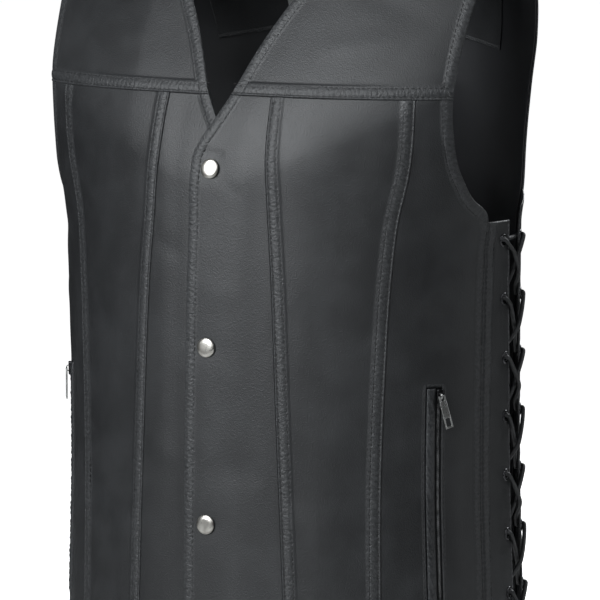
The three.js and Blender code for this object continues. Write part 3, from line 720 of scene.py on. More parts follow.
# What lies along an edge: rows of stitching at these distances, a band raised as far as its end,
# puffed between the rows, with a groove under each row, and the edge itself rounded over
edgeKinds = {
    "lapped": {"rows": (2.1, 8.8), "raise": 0.5, "end": 9.6, "puff": 0.5, "groove": 0.36, "round": 0.7},
    "turned": {"rows": (8.0,), "raise": 0.22, "end": 8.4, "puff": 0.8, "groove": 0.38, "round": 0.8},
    "stitched": {"rows": (2.0, 8.0), "raise": 0.0, "end": 8.6, "puff": 0.3, "groove": 0.32, "round": 0.6},
    "laced": {"rows": (1.9,), "raise": 0.0, "end": 2.6, "puff": 0.2, "groove": 0.22, "round": 0.7},
    "plain": {"rows": (), "raise": 0.0, "end": 1.0, "puff": 0.0, "groove": 0.0, "round": 0.6},
    "butted": {"rows": (), "raise": 0.0, "end": 1.0, "puff": 0.0, "groove": 0.0, "round": 0.25},
}
edgeShape = {"fall": 1.6, "puffShare": 0.6, "grooveWidth": 0.55}
# Long swells: height, turn with each degree and millimetre, and start. They and the creases fade out
# towards an edge, and the swells are weaker above the waist.
swells = {
    "waves": ((0.4, 0.21, 0.011, 0.0), (0.3, 0.37, -0.017, 1.3)), "upper": 0.35, "waist": (-250, -520),
    "calm": (2, 30), "creaseCalm": (1, 9),
}
closeColumns = np.array([0, 0.25, 0.6, 1.0, 1.5, 2.1, 2.7, 3.6, 5.0, 6.5, 7.4, 8.0, 8.6, 9.2, 10.4])
panelStep = {"front": 2.6, "back": 4.2}


def edgeRelief(distances, kinds):
    # The highest band, the deepest rounding and all grooves of the edges near each point
    raised = np.zeros(len(distances[0]))
    rounded, grooves = raised.copy(), raised.copy()
    for distance, kind in zip(distances, kinds):
        edge = edgeKinds[kind]
        band = edge["raise"] * (1 - fade(edge["end"], edge["end"] + edgeShape["fall"], distance))
        start = 0.0
        for row in edge["rows"]:
            isInside = (distance > start) & (distance < row)
            puff = np.where(isInside, np.sin((distance - start) / (row - start) * np.pi) ** 2, 0)
            band = band + puff * edge["puff"] * edgeShape["puffShare"]
            grooves = grooves + edge["groove"] * np.exp(-((distance - row) / edgeShape["grooveWidth"]) ** 2)
            start = row
        raised = np.maximum(raised, band)
        near = 1 - np.clip(distance / edge["round"], 0, 1)
        rounded = np.maximum(rounded, edge["round"] * (1 - np.sqrt(np.maximum(1 - near ** 2, 0))))
    return raised - grooves - rounded


def shareOut(width, step, close):
    # Distances across a piece for each of its rows: close ones at both edges and even ones between
    width = np.asarray(width, float)[:, None]
    close = close[close < width.min() * 0.42]
    count = max(int(np.ceil((width.max() - 2 * close[-1]) / step)), 2)
    middle = close[-1] + (width - 2 * close[-1]) * (np.arange(1, count) / count)
    return np.concatenate([close + 0 * width, middle, width - close[::-1]], 1)


def creaseRelief(angle, height, creases):
    # Each crease is a soft trough or ridge round a line from one place to another, deepest at its middle
    total, perDegree = np.zeros_like(angle), pattern["perDegree"]
    for fromAngle, fromHeight, toAngle, toHeight, width, depth in creases:
        start = np.array([fromAngle * perDegree, fromHeight])
        run = np.array([(toAngle - fromAngle) * perDegree, toHeight - fromHeight])
        offset = np.stack([angle * perDegree, height], -1) - start
        share = (offset @ run) / (run @ run)
        away = np.abs(offset[..., 0] * run[1] - offset[..., 1] * run[0]) / np.linalg.norm(run)
        taper = np.clip(4 * share * (1 - share), 0, 1) ** 0.7
        total = total + depth * np.exp(-(away / width) ** 2) * taper
    return total


def bodyRelief(angle, height):
    # Long shallow swells of leather that is filled out but not stretched tight, unlike on the two sides
    waves = sum(size * np.sin(angle * turn + height * rise + start) for size, turn, rise, start in swells["waves"])
    return waves * (swells["upper"] + fade(*swells["waist"], height) * (1 - swells["upper"]))


def waysTo(edges, angle, height, depth=0.0):
    # For each edge, every place's distance from it and how far along it that is
    base = clothPoint(angle, height, -depth)
    return [distanceTo(base, clothPoint(*line, -depth)) for line, _ in edges]


def wallPiece(name, sign, outer, inner, faces, looks, uv, seam, flat):
    # A closed wall from its two faces, whose cut sheet's size is printed. The cut's area is that of
    # the outer face, as two triangles for each quad.
    facing = faces if sign > 0 else faces[:, ::-1]
    points, groups, kinds = closeShell(mirrored(outer, sign), mirrored(inner, sign), facing)
    made = makeObject(f"{name}_shell", points, groups, looks, kinds, np.tile(uv, (2, 1)), np.tile(seam, (2, 1)))
    a, b, c, d = (outer[faces[:, i]] for i in range(4))
    area = 0.5 * sum(np.linalg.norm(np.cross(p - a, q - a), axis=1) for p, q in ((b, c), (c, d))).sum()
    min(float(area) / 1e6, flat[0] * flat[1])
    attach(made, name)
    cut = f"{flat[0] * 1000:.0f} x {flat[1] * 1000:.0f} mm, {area / 100:.0f} cm2"
    print(name, "cut", cut, len(made.data.polygons), "faces")


def cutPiece(name, grid, edges, sign=1, thick=pattern["leather"], lift=0.0, raised=0.0, nudge=0.0,
             looks=(leather, satin), creases=(), isLeftOut=None, swell=1.0, slot="leather", depth=0.0):
    # A piece over a grid of places: the outer face carries the relief of its edges and creases, the inner
    # one follows the form
    angle, height = (part.ravel() for part in grid)
    found, kinds = waysTo(edges, angle, height, depth), [kind for _, kind in edges]
    nearest, along = np.full(len(angle), 1.0), np.zeros(len(angle))
    for (distance, position), kind in zip(found, kinds):
        scaled = distance / 1000 * leatherLook["bandWidth"] / edgeKinds[kind]["end"]
        isNear = (scaled < nearest) & (len(edgeKinds[kind]["rows"]) > 0)
        nearest, along = np.where(isNear, scaled, nearest), np.where(isNear, position / 1000, along)
    distances = [distance for distance, _ in found]
    inside = np.minimum.reduce(distances)
    soft = bodyRelief(angle * sign, height) * swell * fade(*swells["calm"], inside)
    soft = soft + creaseRelief(angle * sign, height, creases) * fade(*swells["creaseCalm"], inside)
    shift = sign * lapShift(angle, height) + lift - depth
    outer = clothPoint(angle, height, shift + edgeRelief(distances, kinds) + raised + soft)
    inner = clothPoint(angle, height, shift - thick + soft)
    outer[:, 1] += nudge
    inner[:, 1] += nudge
    cells = outer.reshape(*grid[0].shape, 3)
    across, up = waysAlong(cells, 1), waysAlong(cells, 0)
    flat = (max(float(across[:, -1].max()) / 1000, 0.01), float(up[-1].max()) / 1000)
    uv, seam = np.stack([across.ravel(), up.ravel()], 1) / 1000, np.stack([nearest, along], 1)
    wallPiece(name, sign, outer, inner, gridFaces(*grid[0].shape, isLeftOut), looks, uv, seam, flat)


def heightRows(low, high, step):
    start, end = low + closeColumns, high - closeColumns[::-1]
    count = max(int(round((end[0] - start[-1]) / step)), 1)
    return np.concatenate([start, mix(start[-1], end[0], np.arange(1, count) / count), end])


def spread(first, last, heightAt, close=closeColumns, probes=25):
    # A grid whose rows run over the cloth from one line of angles to another, close together at both
    probe = mix(first[:, None], last[:, None], np.linspace(0, 1, probes))
    width = runLengths(formPoint(probe, heightAt(probe)))
    angle = mix(first[:, None], last[:, None], shareOut(width, panelStep["front"], close) / width[:, None])
    return angle, heightAt(angle)


def panelGrid(startName, endName, heights):
    # Each row runs between two cut lines, with half of what parts two neighbours left at either end
    gap = pattern["seamMeetAngle"] / 2
    start, end = cutAt(startName, heights) + gap, cutAt(endName, heights) - gap
    return spread(start, end, lambda angle: heights[:, None] + 0 * angle)


def lineOn(grid, edge):
    # One border of a grid of places
    pick = {"left": np.s_[:, 0], "right": np.s_[:, -1], "foot": np.s_[0], "top": np.s_[-1]}[edge]
    return grid[0][pick], grid[1][pick]


def edgesOf(grid, kinds):
    return [(lineOn(grid, edge), kind) for edge, kind in kinds.items()]


# Stitches

stitch = {"length": 3.1, "pitch": 4.2, "radius": 0.34, "sunk": 0.12, "proud": 0.6}
stitchSets = {}
inwards = {"left": 1, "right": -1, "foot": -1, "top": 1}


def stitchLine(group, line, kind, sign, inward, trim=(0, 0)):
    # Rows of stitching beside an edge. Each point of the edge is moved in by the row's distance, square to
    # the edge and along the cloth, and the stitches are spaced evenly on the new line.
    angle, height = (np.asarray(part, float) for part in line)
    edge = edgeKinds[kind]
    for row in edge["rows"]:
        ahead = unit(np.gradient(formPoint(angle, height), axis=0))
        newAngle, newHeight = clothStep(angle, height, np.cross(ahead, formOut(angle, height)) * inward * row)
        path = formPoint(newAngle, newHeight)
        ways = waysAlong(path)
        spots = np.arange(trim[0] + stitch["pitch"] / 2, ways[-1] - trim[1] - stitch["length"] / 2, stitch["pitch"])
        if len(spots) < 2:
            continue
        atAngle, atHeight = np.interp(spots, ways, newAngle), np.interp(spots, ways, newHeight)
        lift = edge["raise"] - edge["groove"] - stitch["sunk"] + sign * lapShift(atAngle, atHeight)
        lift = lift + stitch["radius"] * stitch["proud"]
        along = np.stack([np.interp(spots, ways, np.gradient(path[:, i], ways)) for i in range(3)], 1)
        centres = mirrored(clothPoint(atAngle, atHeight, lift), sign)
        stitchSets.setdefault(group, []).append((centres, axesAt(atAngle, atHeight, along, sign)))


def stitchEdges(group, grid, kinds, sign, trims):
    for edge, trim in trims.items():
        stitchLine(group, lineOn(grid, edge), kinds[edge], sign, inwards[edge], trim)


def makeStitches():
    # One stitch is a short rounded bar along the first axis
    profile = np.array([(0.25, -0.5), (0.8, -0.4), (1, 0), (0.8, 0.4), (0.25, 0.5)])
    points, faces = lathe(profile * (stitch["radius"], stitch["length"]), 6)
    for group, rows in stitchSets.items():
        centres, axes = (np.concatenate([row[i] for row in rows]) for i in range(2))
        # the lacing edges' stitches take the paler thread, a painted highlight
        look = paintedHighlightThread if group == "lacing_edges" else thread
        makeCopies(f"stitches_{group}", points[:, [2, 0, 1]], faces, centres, axes, look)
        print("stitches", group, len(centres))


# Fronts

snap = {
    "radius": 7.5, "dome": 2.6, "first": -200, "spacing": 135, "count": 4, "angle": 0.3,
    "perDegree": 2.4, "dimple": 0.45, "dimpleWidth": 10.5, "edgeShare": 0.42, "powers": (0.62, 0.9), "tip": 0.12,
    "rim": [(6.4, 0.0), (6.95, 0.04), (7.35, 0.3), (7.5, 0.7)],
}
pocket = {
    "top": -363, "bottom": -546, "front": 58.3, "back": 63.5, "zip": 62.5, "rowGap": 1.4,
    "weltFront": 58.5, "weltBack": 61.3, "weltRaise": 1.4, "weltLift": 0.2, "tape": 0.8, "tapeUnder": 0.8,
    # above the slot its columns spread to these shares of the panel
    "shares": (0.42, 0.56), "spreadFrom": -330, "spreadTo": -240,
    # the welt's section, and its ruffles: height, turn with each millimetre and degree
    "roll": ([0, 0.06, 0.25, 0.5, 0.75, 0.94, 1], [0, 0.42, 0.88, 1, 0.74, 0.3, 0]),
    "ruffles": ((0.36, 0.74, 3.1), (0.24, 1.31, -2.2)), "drift": (0.19, 2.4),
}
yokeRows = {"tall": 190, "count": 74, "last": [0.994, 0.998]}
# From one angle and height to another, width and depth
creases = {
    "front_centre_left": [
        (-3.2, -187.5, 3.4, -188.5, 1.3, -1.5), (3, -205, 8, -222, 5.0, -0.25), (-3, -285, 9, -300, 9, 0.3),
        (2, -420, 15, -436, 12, -0.5), (0, -560, 14, -585, 14, 0.6),
    ],
    "front_centre_right": [
        (-14, -255, -7, -268, 8, -0.5), (-17, -405, -8, -430, 10, 0.5), (-18, -560, -8, -592, 12, -0.6),
    ],
    "front_middle_left": [
        (22, -300, 42, -330, 13, -0.6), (20, -455, 40, -480, 15, 0.7), (24, -590, 43, -615, 16, -0.7),
        (17, -200, 34, -190, 12, 0.4),
    ],
    "front_middle_right": [
        (-42, -275, -22, -300, 13, 0.9), (-43, -430, -24, -470, 15, -1.0), (-44, -575, -25, -604, 14, 1.0),
    ],
    "front_side_left": [
        (50, -262, 74, -236, 9, -1.0), (49, -300, 72, -282, 11, 0.9), (66, -400, 77, -380, 8, 0.8),
        (48, -590, 74, -610, 14, 1.0), (50, -196, 60, -178, 8, 0.7),
    ],
    "front_side_right": [
        (-74, -250, -50, -272, 10, -1.0), (-76, -330, -66, -300, 9, 0.9), (-75, -590, -50, -615, 13, -1.0),
    ],
    "back": [
        (150, -250, 178, -285, 15, -1.4), (182, -290, 214, -262, 14, 1.1), (135, -330, 168, -352, 13, 1.2),
        (190, -380, 226, -352, 15, -1.3), (140, -470, 184, -492, 17, -1.4), (176, -560, 222, -540, 16, 1.3),
        (132, -600, 170, -622, 15, 1.0), (128, -232, 150, -205, 11, -1.1), (210, -205, 232, -230, 10, -1.0),
        (160, -120, 200, -128, 15, 0.8),
    ],
    "lining": [
        (138, -210, 170, -120, 13, -0.9), (160, -250, 196, -150, 14, 0.8), (186, -230, 214, -120, 12, -0.8),
        (140, -330, 200, -300, 18, 0.8), (150, -450, 215, -420, 20, -0.8), (140, -560, 220, -540, 20, 0.7),
    ],
}


def snapHeight(row):
    return float(snap["first"] - snap["spacing"] * row)


def makeFront(side, sign):
    low = heightRows(pattern["hem"], pattern["yoke"] - pattern["seamMeet"] / 2, panelStep["front"])
    grid = panelGrid("frontEdge", "innerSeam", low)
    dimple = 0
    for row in range(snap["count"] if side == "left" else 0):
        away = np.hypot((grid[0] - snap["angle"]) * snap["perDegree"], grid[1] - snapHeight(row)).ravel()
        dimple = dimple - snap["dimple"] * np.exp(-(away / snap["dimpleWidth"]) ** 2)
    name, kinds = f"front_centre_{side}", {"left": "turned", "right": "butted", "foot": "turned", "top": "butted"}
    cutPiece(name, grid, edgesOf(grid, kinds), sign, raised=dimple, creases=creases[name])
    stitchEdges("front", grid, kinds, sign, {"left": (0, 0), "foot": (8.2, 0)})

    grid = panelGrid("innerSeam", "outerSeam", low)
    name, kinds = f"front_middle_{side}", {"left": "lapped", "right": "lapped", "foot": "turned", "top": "butted"}
    cutPiece(name, grid, edgesOf(grid, kinds), sign, creases=creases[name])
    stitchEdges("front", grid, kinds, sign, {"left": (0, 0), "right": (0, 0), "foot": (9, 9)})

    makeSidePanel(side, sign, low)
    makeYoke(side, sign)


def makeSidePanel(side, sign, heights):
    # The panel's grid has columns on the pocket slot's two edges and rows on its ends, and leaves the slot out
    front, back, bottom, top = (pocket[key] for key in ("front", "back", "bottom", "top"))
    for level in (top, bottom):
        heights = np.sort(np.concatenate([heights[np.abs(heights - level) > pocket["rowGap"]], [level]]))
    gap = pattern["seamMeetAngle"] / 2
    start, end = cutAt("outerSeam", heights) + gap, cutAt("frontSide", heights) - gap
    inSlot = fade(pocket["spreadTo"], pocket["spreadFrom"], heights)
    frontShare, backShare = pocket["shares"]
    slotFront = mix(mix(start, end, frontShare), front, inSlot)
    slotBack = mix(mix(start, end, backShare), back, inSlot)
    lines, parts = [start, slotFront, slotBack, end], []
    for i in range(3):
        close = closeColumns[[0, 2, 4]] if i == 1 else closeColumns
        parts.append(spread(lines[i], lines[i + 1], lambda angle: heights[:, None] + 0 * angle, close, 13)[0])
    angle = np.concatenate([parts[0], parts[1][:, 1:-1], parts[2]], 1)
    height = heights[:, None] + 0 * angle
    firstOpen, lastOpen = parts[0].shape[1] - 1, parts[0].shape[1] + parts[1].shape[1] - 2
    rows = (height[:-1, :-1] >= bottom - 0.01) & (height[1:, 1:] <= top + 0.01)
    columns = np.arange(angle.shape[1] - 1)[None] + 0 * height[:-1, :-1]
    tall, wide = 60, 8  # points along the slot's sides and ends
    slotLine = (
        np.concatenate([np.full(tall, front), np.linspace(front, back, wide),
                        np.full(tall, back), np.linspace(back, front, wide)]),
        np.concatenate([np.linspace(bottom, top, tall), np.full(wide, top),
                        np.linspace(top, bottom, tall), np.full(wide, bottom)]),
    )
    grid, below = (angle, height), heights <= pattern["sideTop"] + 0.5
    lower, upper = ((angle[part, -1], heights[part]) for part in (below, ~below))
    name = f"front_side_{side}"
    edges = [(lineOn(grid, "left"), "butted"), (lower, "stitched"), (upper, "turned"),
             (lineOn(grid, "foot"), "turned"), (lineOn(grid, "top"), "butted"), (slotLine, "laced")]
    isLeftOut = rows & (columns >= firstOpen) & (columns < lastOpen)
    cutPiece(name, grid, edges, sign, creases=creases[name], isLeftOut=isLeftOut)
    stitchLine("front", lower, "stitched", sign, -1, (9, 0))
    stitchLine("front", upper, "turned", sign, -1, (2, 0))
    stitchEdges("front", grid, {"foot": "turned"}, sign, {"foot": (0, 9)})
    for first in (0, tall + wide):
        stitchLine("front", [part[first:first + tall] for part in slotLine], "laced", sign, -1, (1, 1))


def makeYoke(side, sign):
    foot, gap = pattern["yoke"] + pattern["seamMeet"] / 2, pattern["seamMeetAngle"] / 2
    close = closeColumns / yokeRows["tall"]
    rise = np.unique(np.concatenate([close, np.linspace(close[-1], 1, yokeRows["count"]), yokeRows["last"]]))
    neck = cutAt("frontEdge", mix(foot, seamHeight(180 - pattern["neckAngle"]), rise)) + gap
    arm = cutAt("frontSide", mix(foot, seamHeight(180 - pattern["tipAngle"]), rise)) - gap
    grid = spread(neck, arm, lambda angle: mix(foot, seamHeight(angle), rise[:, None]))
    nudge = np.where(rise[:, None] == 1, -pattern["seamMeet"] / 2, 0) + 0 * grid[0]
    kinds = {"foot": "lapped", "left": "turned", "right": "turned", "top": "butted"}
    cutPiece(
        f"yoke_{side}", grid, edgesOf(grid, kinds), sign, nudge=nudge.ravel(), swell=0.5,
        creases=[(24 * sign, -60, 50 * sign, -92, 9, -0.6), (20 * sign, -110, 42 * sign, -100, 8, 0.5)],
    )
    stitchEdges("front", grid, kinds, sign, {"foot": (0, 0), "left": (0, 0), "right": (9, 0)})


for side, sign in sides.items():
    makeFront(side, sign)
print("fronts made")

# The back and what lines it

back = {
    "half": 190, "tall": 225, "swell": 1.6, "sparse": np.array([0, 0.6, 2.0, 5.0]), "liningStep": 6, "liningFoot": 12,
    # from one share of the armhole's height to another, share of the width, and thickness
    "neck_facing": (0.4, 1.0, 0.7, 1.2), "neck_patch": (0.48, 0.66, 0.36, 0.8), "smallStep": 3,
}


def backTop(angle):
    away = np.abs(180 - angle) / (180 - pattern["neckAngle"])
    low = mix(0, seamHeight(pattern["neckAngle"]), np.minimum(away, 1) ** 3)
    return np.where(away >= 1, seamHeight(angle), low)


def backGrid(rows, columns):
    # Rows below 0 are heights; rows from 0 to 1 fan out from the armhole's foot to the shoulder and the neck
    isLow = rows <= -1.5
    foot, tip, rise = pattern["backFoot"], seamHeight(pattern["tipAngle"]), np.clip(rows, 0, 1)
    side = cutAt("backSide", np.where(isLow, rows, mix(foot, tip, rise))) + pattern["seamMeetAngle"] / 2
    angle = 180 - columns[None] * (180 - side[:, None])
    return angle, np.where(isLow[:, None], rows[:, None], mix(foot, backTop(angle), rise[:, None]))


def backColumns(most, step, close):
    count, close = int(round(2 * back["half"] * most / step)), close / back["half"]
    columns = np.concatenate([np.linspace(most, -most, count + 1), most - close, close - most])
    return np.unique(np.round(columns, 5))[::-1]


def backRows(step, low, close):
    # Down to the hem: heights below the armhole's foot, then shares of the way up
    foot = pattern["backFoot"]
    upper = np.concatenate([np.linspace(0, 1, int(back["tall"] / step) + 1), 1 - close / back["tall"]])
    lower = np.linspace(low + close[-1], foot - 1, int(round((foot - 3 - low) / step)))
    return np.unique(np.round(np.concatenate([low + close, lower, upper]), 5))


def backPiece(name, rows, columns, kinds, looks, **settings):
    grid = backGrid(rows, columns)
    isTop = (rows[:, None] == 1) & (np.abs(180 - grid[0]) > 180 - pattern["neckAngle"] - 0.1)
    nudge = np.where(isTop, pattern["seamMeet"] / 2, 0).ravel()
    cutPiece(name, grid, edgesOf(grid, kinds), nudge=nudge, looks=looks, **settings)
    return grid


def makeBack():
    turned, plain = (dict.fromkeys(("left", "right", "foot", "top"), kind) for kind in ("turned", "plain"))
    step, hem = panelStep["back"], pattern["hem"]
    rows, columns = backRows(step, hem, closeColumns), backColumns(1, step, closeColumns)
    outer = {"creases": creases["back"], "swell": back["swell"]}
    angle, height = grid = backPiece("back_panel", rows, columns, turned, (leather, leather), **outer)
    low = rows < pattern["backFoot"]
    for column, inward in ((0, 1), (-1, -1)):
        for part, trim in ((low, (9, 0)), (~low, (0, 9))):
            stitchLine("back", (angle[part, column], height[part, column]), "turned", 1, inward, trim)
    stitchEdges("back", grid, turned, 1, {"foot": (9, 9), "top": (9, 9)})

    sparse, step, depth = back["sparse"], back["liningStep"], pattern["leather"] + pattern["seamGap"]
    backPiece("back_lining", backRows(step, hem + back["liningFoot"], sparse), backColumns(1, step, sparse), plain,
              (satin, satin), creases=creases["back"] + creases["lining"], swell=back["swell"], slot="lining",
              depth=depth, thick=pattern["liningCloth"])
    depth = depth + pattern["liningCloth"] + pattern["seamGap"]
    step, facing = back["smallStep"], {**plain, "foot": "laced"}
    small = (("neck_facing", facing, leather, "leather"), ("neck_patch", plain, wovenCloth, "woven"))
    for name, kinds, look, slot in small:
        low, high, most, thick = back[name]
        count, close = int(round((high - low) * back["tall"] / step)), sparse / back["tall"]
        rows = np.unique(np.round(np.concatenate([np.linspace(low, high, count + 1), low + close, high - close]), 5))
        backPiece(name, rows, backColumns(most, step, sparse), kinds, (look, look), swell=0.0, slot=slot, depth=depth,
                  thick=thick)
        depth = depth + thick + pattern["seamGap"]


makeBack()
print("back made")

# Lacing strips and their eyelets

strip = {
    "sideCells": 14, "rings": (0, 0.05, 0.12, 0.22, 0.36, 0.54, 0.74, 0.9, 1), "hole": 2.6, "edgeShare": 3.3,
    "sink": 0.35, "sinkWidth": 7.0, "ruffle": 0.3, "ruffleAt": 11, "ruffleWidth": 3.0, "slope": (-262, -222),
}
eyelet = {"inner": 2.45, "outer": 5.0, "height": 1.15, "under": 0.4}


def stripGrid(isFront, startName, endName, top):
    # Each eyelet's cell is a set of rings between its round hole and the cell's four sides, so that the
    # cells above and below share their points
    gap = pattern["seamMeetAngle"] / 2
    startGap, endGap = (gap, 0) if isFront else (0, -gap)
    even = np.arange(strip["sideCells"]) / strip["sideCells"]
    square = np.concatenate([np.stack([even, 0 * even], 1), np.stack([0 * even + 1, even], 1),
                             np.stack([1 - even, 0 * even + 1], 1), np.stack([0 * even, 1 - even], 1)])
    ring = np.array(strip["rings"])[:, None]
    quads = ringFaces(len(ring), len(square))[:, [0, 3, 2, 1]]
    points, faces = [], []
    for row in range(lace["count"]):
        middle = eyeletHeight(row)
        high = top if row == 0 else middle + lace["spacing"] / 2
        low = pattern["hem"] if row == lace["count"] - 1 else middle - lace["spacing"] / 2
        edgeHeight = mix(low, high, square[:, 1])
        edgeAngle = mix(cutAt(startName, edgeHeight) + startGap, cutAt(endName, edgeHeight) + endGap, square[:, 0])
        centre = float(eyeletAngle(middle, isFront))
        probe = formPoint(np.array([centre - 1, centre + 1]), middle)
        perDegree = np.linalg.norm(probe[1] - probe[0]) / 2
        away = np.stack([(edgeAngle - centre) * perDegree, edgeHeight - middle], 1)
        hole = unit(away) * strip["hole"] / np.array([perDegree, 1])
        cell = [mix(centre + hole[:, 0], edgeAngle, ring), mix(middle + hole[:, 1], edgeHeight, ring)]
        points.append(np.stack(cell, -1).reshape(-1, 2))
        faces.append(quads + row * len(square) * len(ring))
    places, faces = np.concatenate(points), np.concatenate(faces)
    _, first, again = np.unique(np.round(places, 3), axis=0, return_index=True, return_inverse=True)
    (angle, height), faces = places[first].T, again.reshape(-1)[faces]
    if not isFront:  # the top slopes down to the lacing edge
        share = (angle - cutAt(startName, height)) / (cutAt(endName, height) - cutAt(startName, height))
        drop = (1 - np.clip(share, 0, 1)) * (pattern["backFoot"] - pattern["backEdgeTop"])
        height = height - drop * fade(*strip["slope"], height)
    return angle, height, faces


def makeStrip(side, sign, isFront):
    name = f"lace_strip_{'front' if isFront else 'back'}_{side}"
    seamName, edgeName = ("frontSide", "laceEdge") if isFront else ("backSide", "backLaceEdge")
    top, edgeTop = (pattern["sideTop"],) * 2 if isFront else (pattern["backFoot"], pattern["backEdgeTop"])
    names = (seamName, edgeName) if isFront else (edgeName, seamName)
    angle, height, faces = stripGrid(isFront, *names, top)
    heights = np.linspace(pattern["hem"], top, 160)
    seamLine = (cutAt(seamName, heights), heights)
    freeLine = (cutAt(edgeName, np.minimum(heights, edgeTop)), np.minimum(heights, edgeTop))
    across = np.linspace(0, 1, 20)
    hemLine, topLine = ([mix(seamLine[i][end], freeLine[i][end], across) for i in range(2)] for end in (0, -1))
    edges = [(seamLine, "stitched"), (freeLine, "laced"), (hemLine, "turned"), (topLine, "laced")]
    found = waysTo(edges, angle, height)
    relief = edgeRelief([f[0] for f in found], [kind for _, kind in edges])
    rows = eyeletHeight(np.arange(lace["count"]))
    angles = eyeletAngle(rows, isFront)
    base = formPoint(angle, height)
    for row, spot in enumerate(formPoint(angles, rows)):
        away = np.linalg.norm(base - spot, axis=1)
        relief = relief - strip["sink"] * np.exp(-(away / strip["sinkWidth"]) ** 2)
        folds = np.sin(np.arctan2(*(base - spot)[:, [2, 1]].T) * 3 + row)
        relief = relief + strip["ruffle"] * np.exp(-((away - strip["ruffleAt"]) / strip["ruffleWidth"]) ** 2) * folds
    outer = clothPoint(angle, height, relief)
    inner = clothPoint(angle, height, -pattern["leather"])
    (fromSeam, alongSeam), (fromEdge, alongEdge) = found[:2]
    isSeam = fromSeam <= fromEdge + 0.01
    seam = [np.where(isSeam, fromSeam, fromEdge * strip["edgeShare"]), np.where(isSeam, alongSeam, alongEdge)]
    flat = (float(runLengths(formPoint(*hemLine))) / 1000, (top - pattern["hem"]) / 1000)
    wallPiece(name, sign, outer, inner, faces, [binding, satin], np.stack([fromSeam, height], 1) / 1000,
              np.stack(seam, 1) / 1000, flat)
    inward = 1 if isFront else -1
    stitchLine("strips", seamLine, "stitched", sign, inward, (9, 4))
    free = heights <= edgeTop
    stitchLine("lacing_edges", (freeLine[0][free], freeLine[1][free]), "laced", sign, -inward, (2, 2))
    along = formPoint(angles, rows + 1) - formPoint(angles, rows - 1)
    centres = mirrored(clothPoint(angles, rows, -strip["sink"]), sign)
    return centres, axesAt(angles, rows, along, sign)


def makeStrips():
    # An eyelet's rim is a ring, rounded over on top and turned down into the hole
    inner, outer, high = eyelet["inner"], eyelet["outer"], eyelet["height"]
    low = -pattern["leather"] - eyelet["under"]
    profile = [
        (inner + 0.25, low), (outer - 0.5, low), (outer - 0.5, low + 0.45), (inner + 0.7, low + 0.6),
        (inner + 0.55, 0.0), (outer, 0.0), (outer, 0.3), (outer - 0.45, high * 0.78), (mix(inner, outer, 0.5), high),
        (inner + 0.35, high * 0.82), (inner, 0.35), (inner, low + 0.3),
    ]
    points, faces = lathe(profile, 28, isRing=True)
    for side, sign in sides.items():
        found = [makeStrip(side, sign, isFront) for isFront in (True, False)]
        centres, axes = (np.concatenate([f[i] for f in found]) for i in range(2))
        makeCopies(f"eyelets_{side}", points, faces, centres, axes, gunmetal)


makeStrips()
print("lacing strips made")

# Pockets

zipper = {"pitch": 1.5, "toothLength": 1.9, "toothRadius": 0.4, "offset": 0.6, "depth": 1.15, "perDegree": 2.6}
slider = {
    "width": 5.6, "length": 10.5, "thick": 2.3, "drop": 6, "lift": 0.1, "bevel": 0.55, "lugHeight": 2.4,
    "alongShares": (-0.5, -0.42, 0.2, 0.5), "widthShares": (0.82, 1, 1, 0.6),
}
bridge = {"reach": 2.1, "sunk": 0.15, "under": 0.4, "count": 15, "power": 0.7, "quarter": ((0.8, 0.22), (0.62, 0.38))}
pull = {
    "width": 6.3, "length": 26, "thick": 1.2, "tilt": 17, "fork": 4, "gap": 1.3, "inset": 0.8, "pivotDrop": 0.9,
    "neck": 3, "holeLength": 6.7, "holeRim": 1.2, "holeFoot": 1.3, "headShare": 0.86, "bevel": 0.3,
}


def evenGrid(heights, front, back, share):
    angle = mix(front, back, share)[None] + 0 * heights[:, None]
    return angle, heights[:, None] + 0 * angle


def makeWelt(side, sign):
    # A roll of leather over the slot's front part, ruffled by its stitching
    heights = np.linspace(pocket["bottom"] + pattern["seamGap"], pocket["top"] - pattern["seamGap"], 150)
    share = np.concatenate([[0, 0.04, 0.1], np.linspace(0.18, 0.82, 12), [0.9, 0.96, 1]])
    angle, height = grid = evenGrid(heights, pocket["weltFront"], pocket["weltBack"], share)
    roll = np.interp(share, *pocket["roll"])[None]
    (high, turn, slant), (low, fineTurn, fineSlant) = pocket["ruffles"]
    drift = np.sin(height * pocket["drift"][0]) * pocket["drift"][1]
    ruffle = high * np.sin(height * turn + angle * slant + drift) + low * np.sin(height * fineTurn + angle * fineSlant)
    ends = (fade(0, 5, heights - heights[0]) * fade(0, 5, heights[-1] - heights))[:, None]
    raised = pocket["weltRaise"] * roll * (0.55 + 0.45 * ends) + ruffle * roll * ends
    cutPiece(f"pocket_welt_{side}", grid, edgesOf(grid, {"left": "butted", "right": "butted"}), sign,
             lift=pocket["weltLift"], raised=raised.ravel(), looks=(weltHighlightLeather, weltHighlightLeather), swell=0.0)


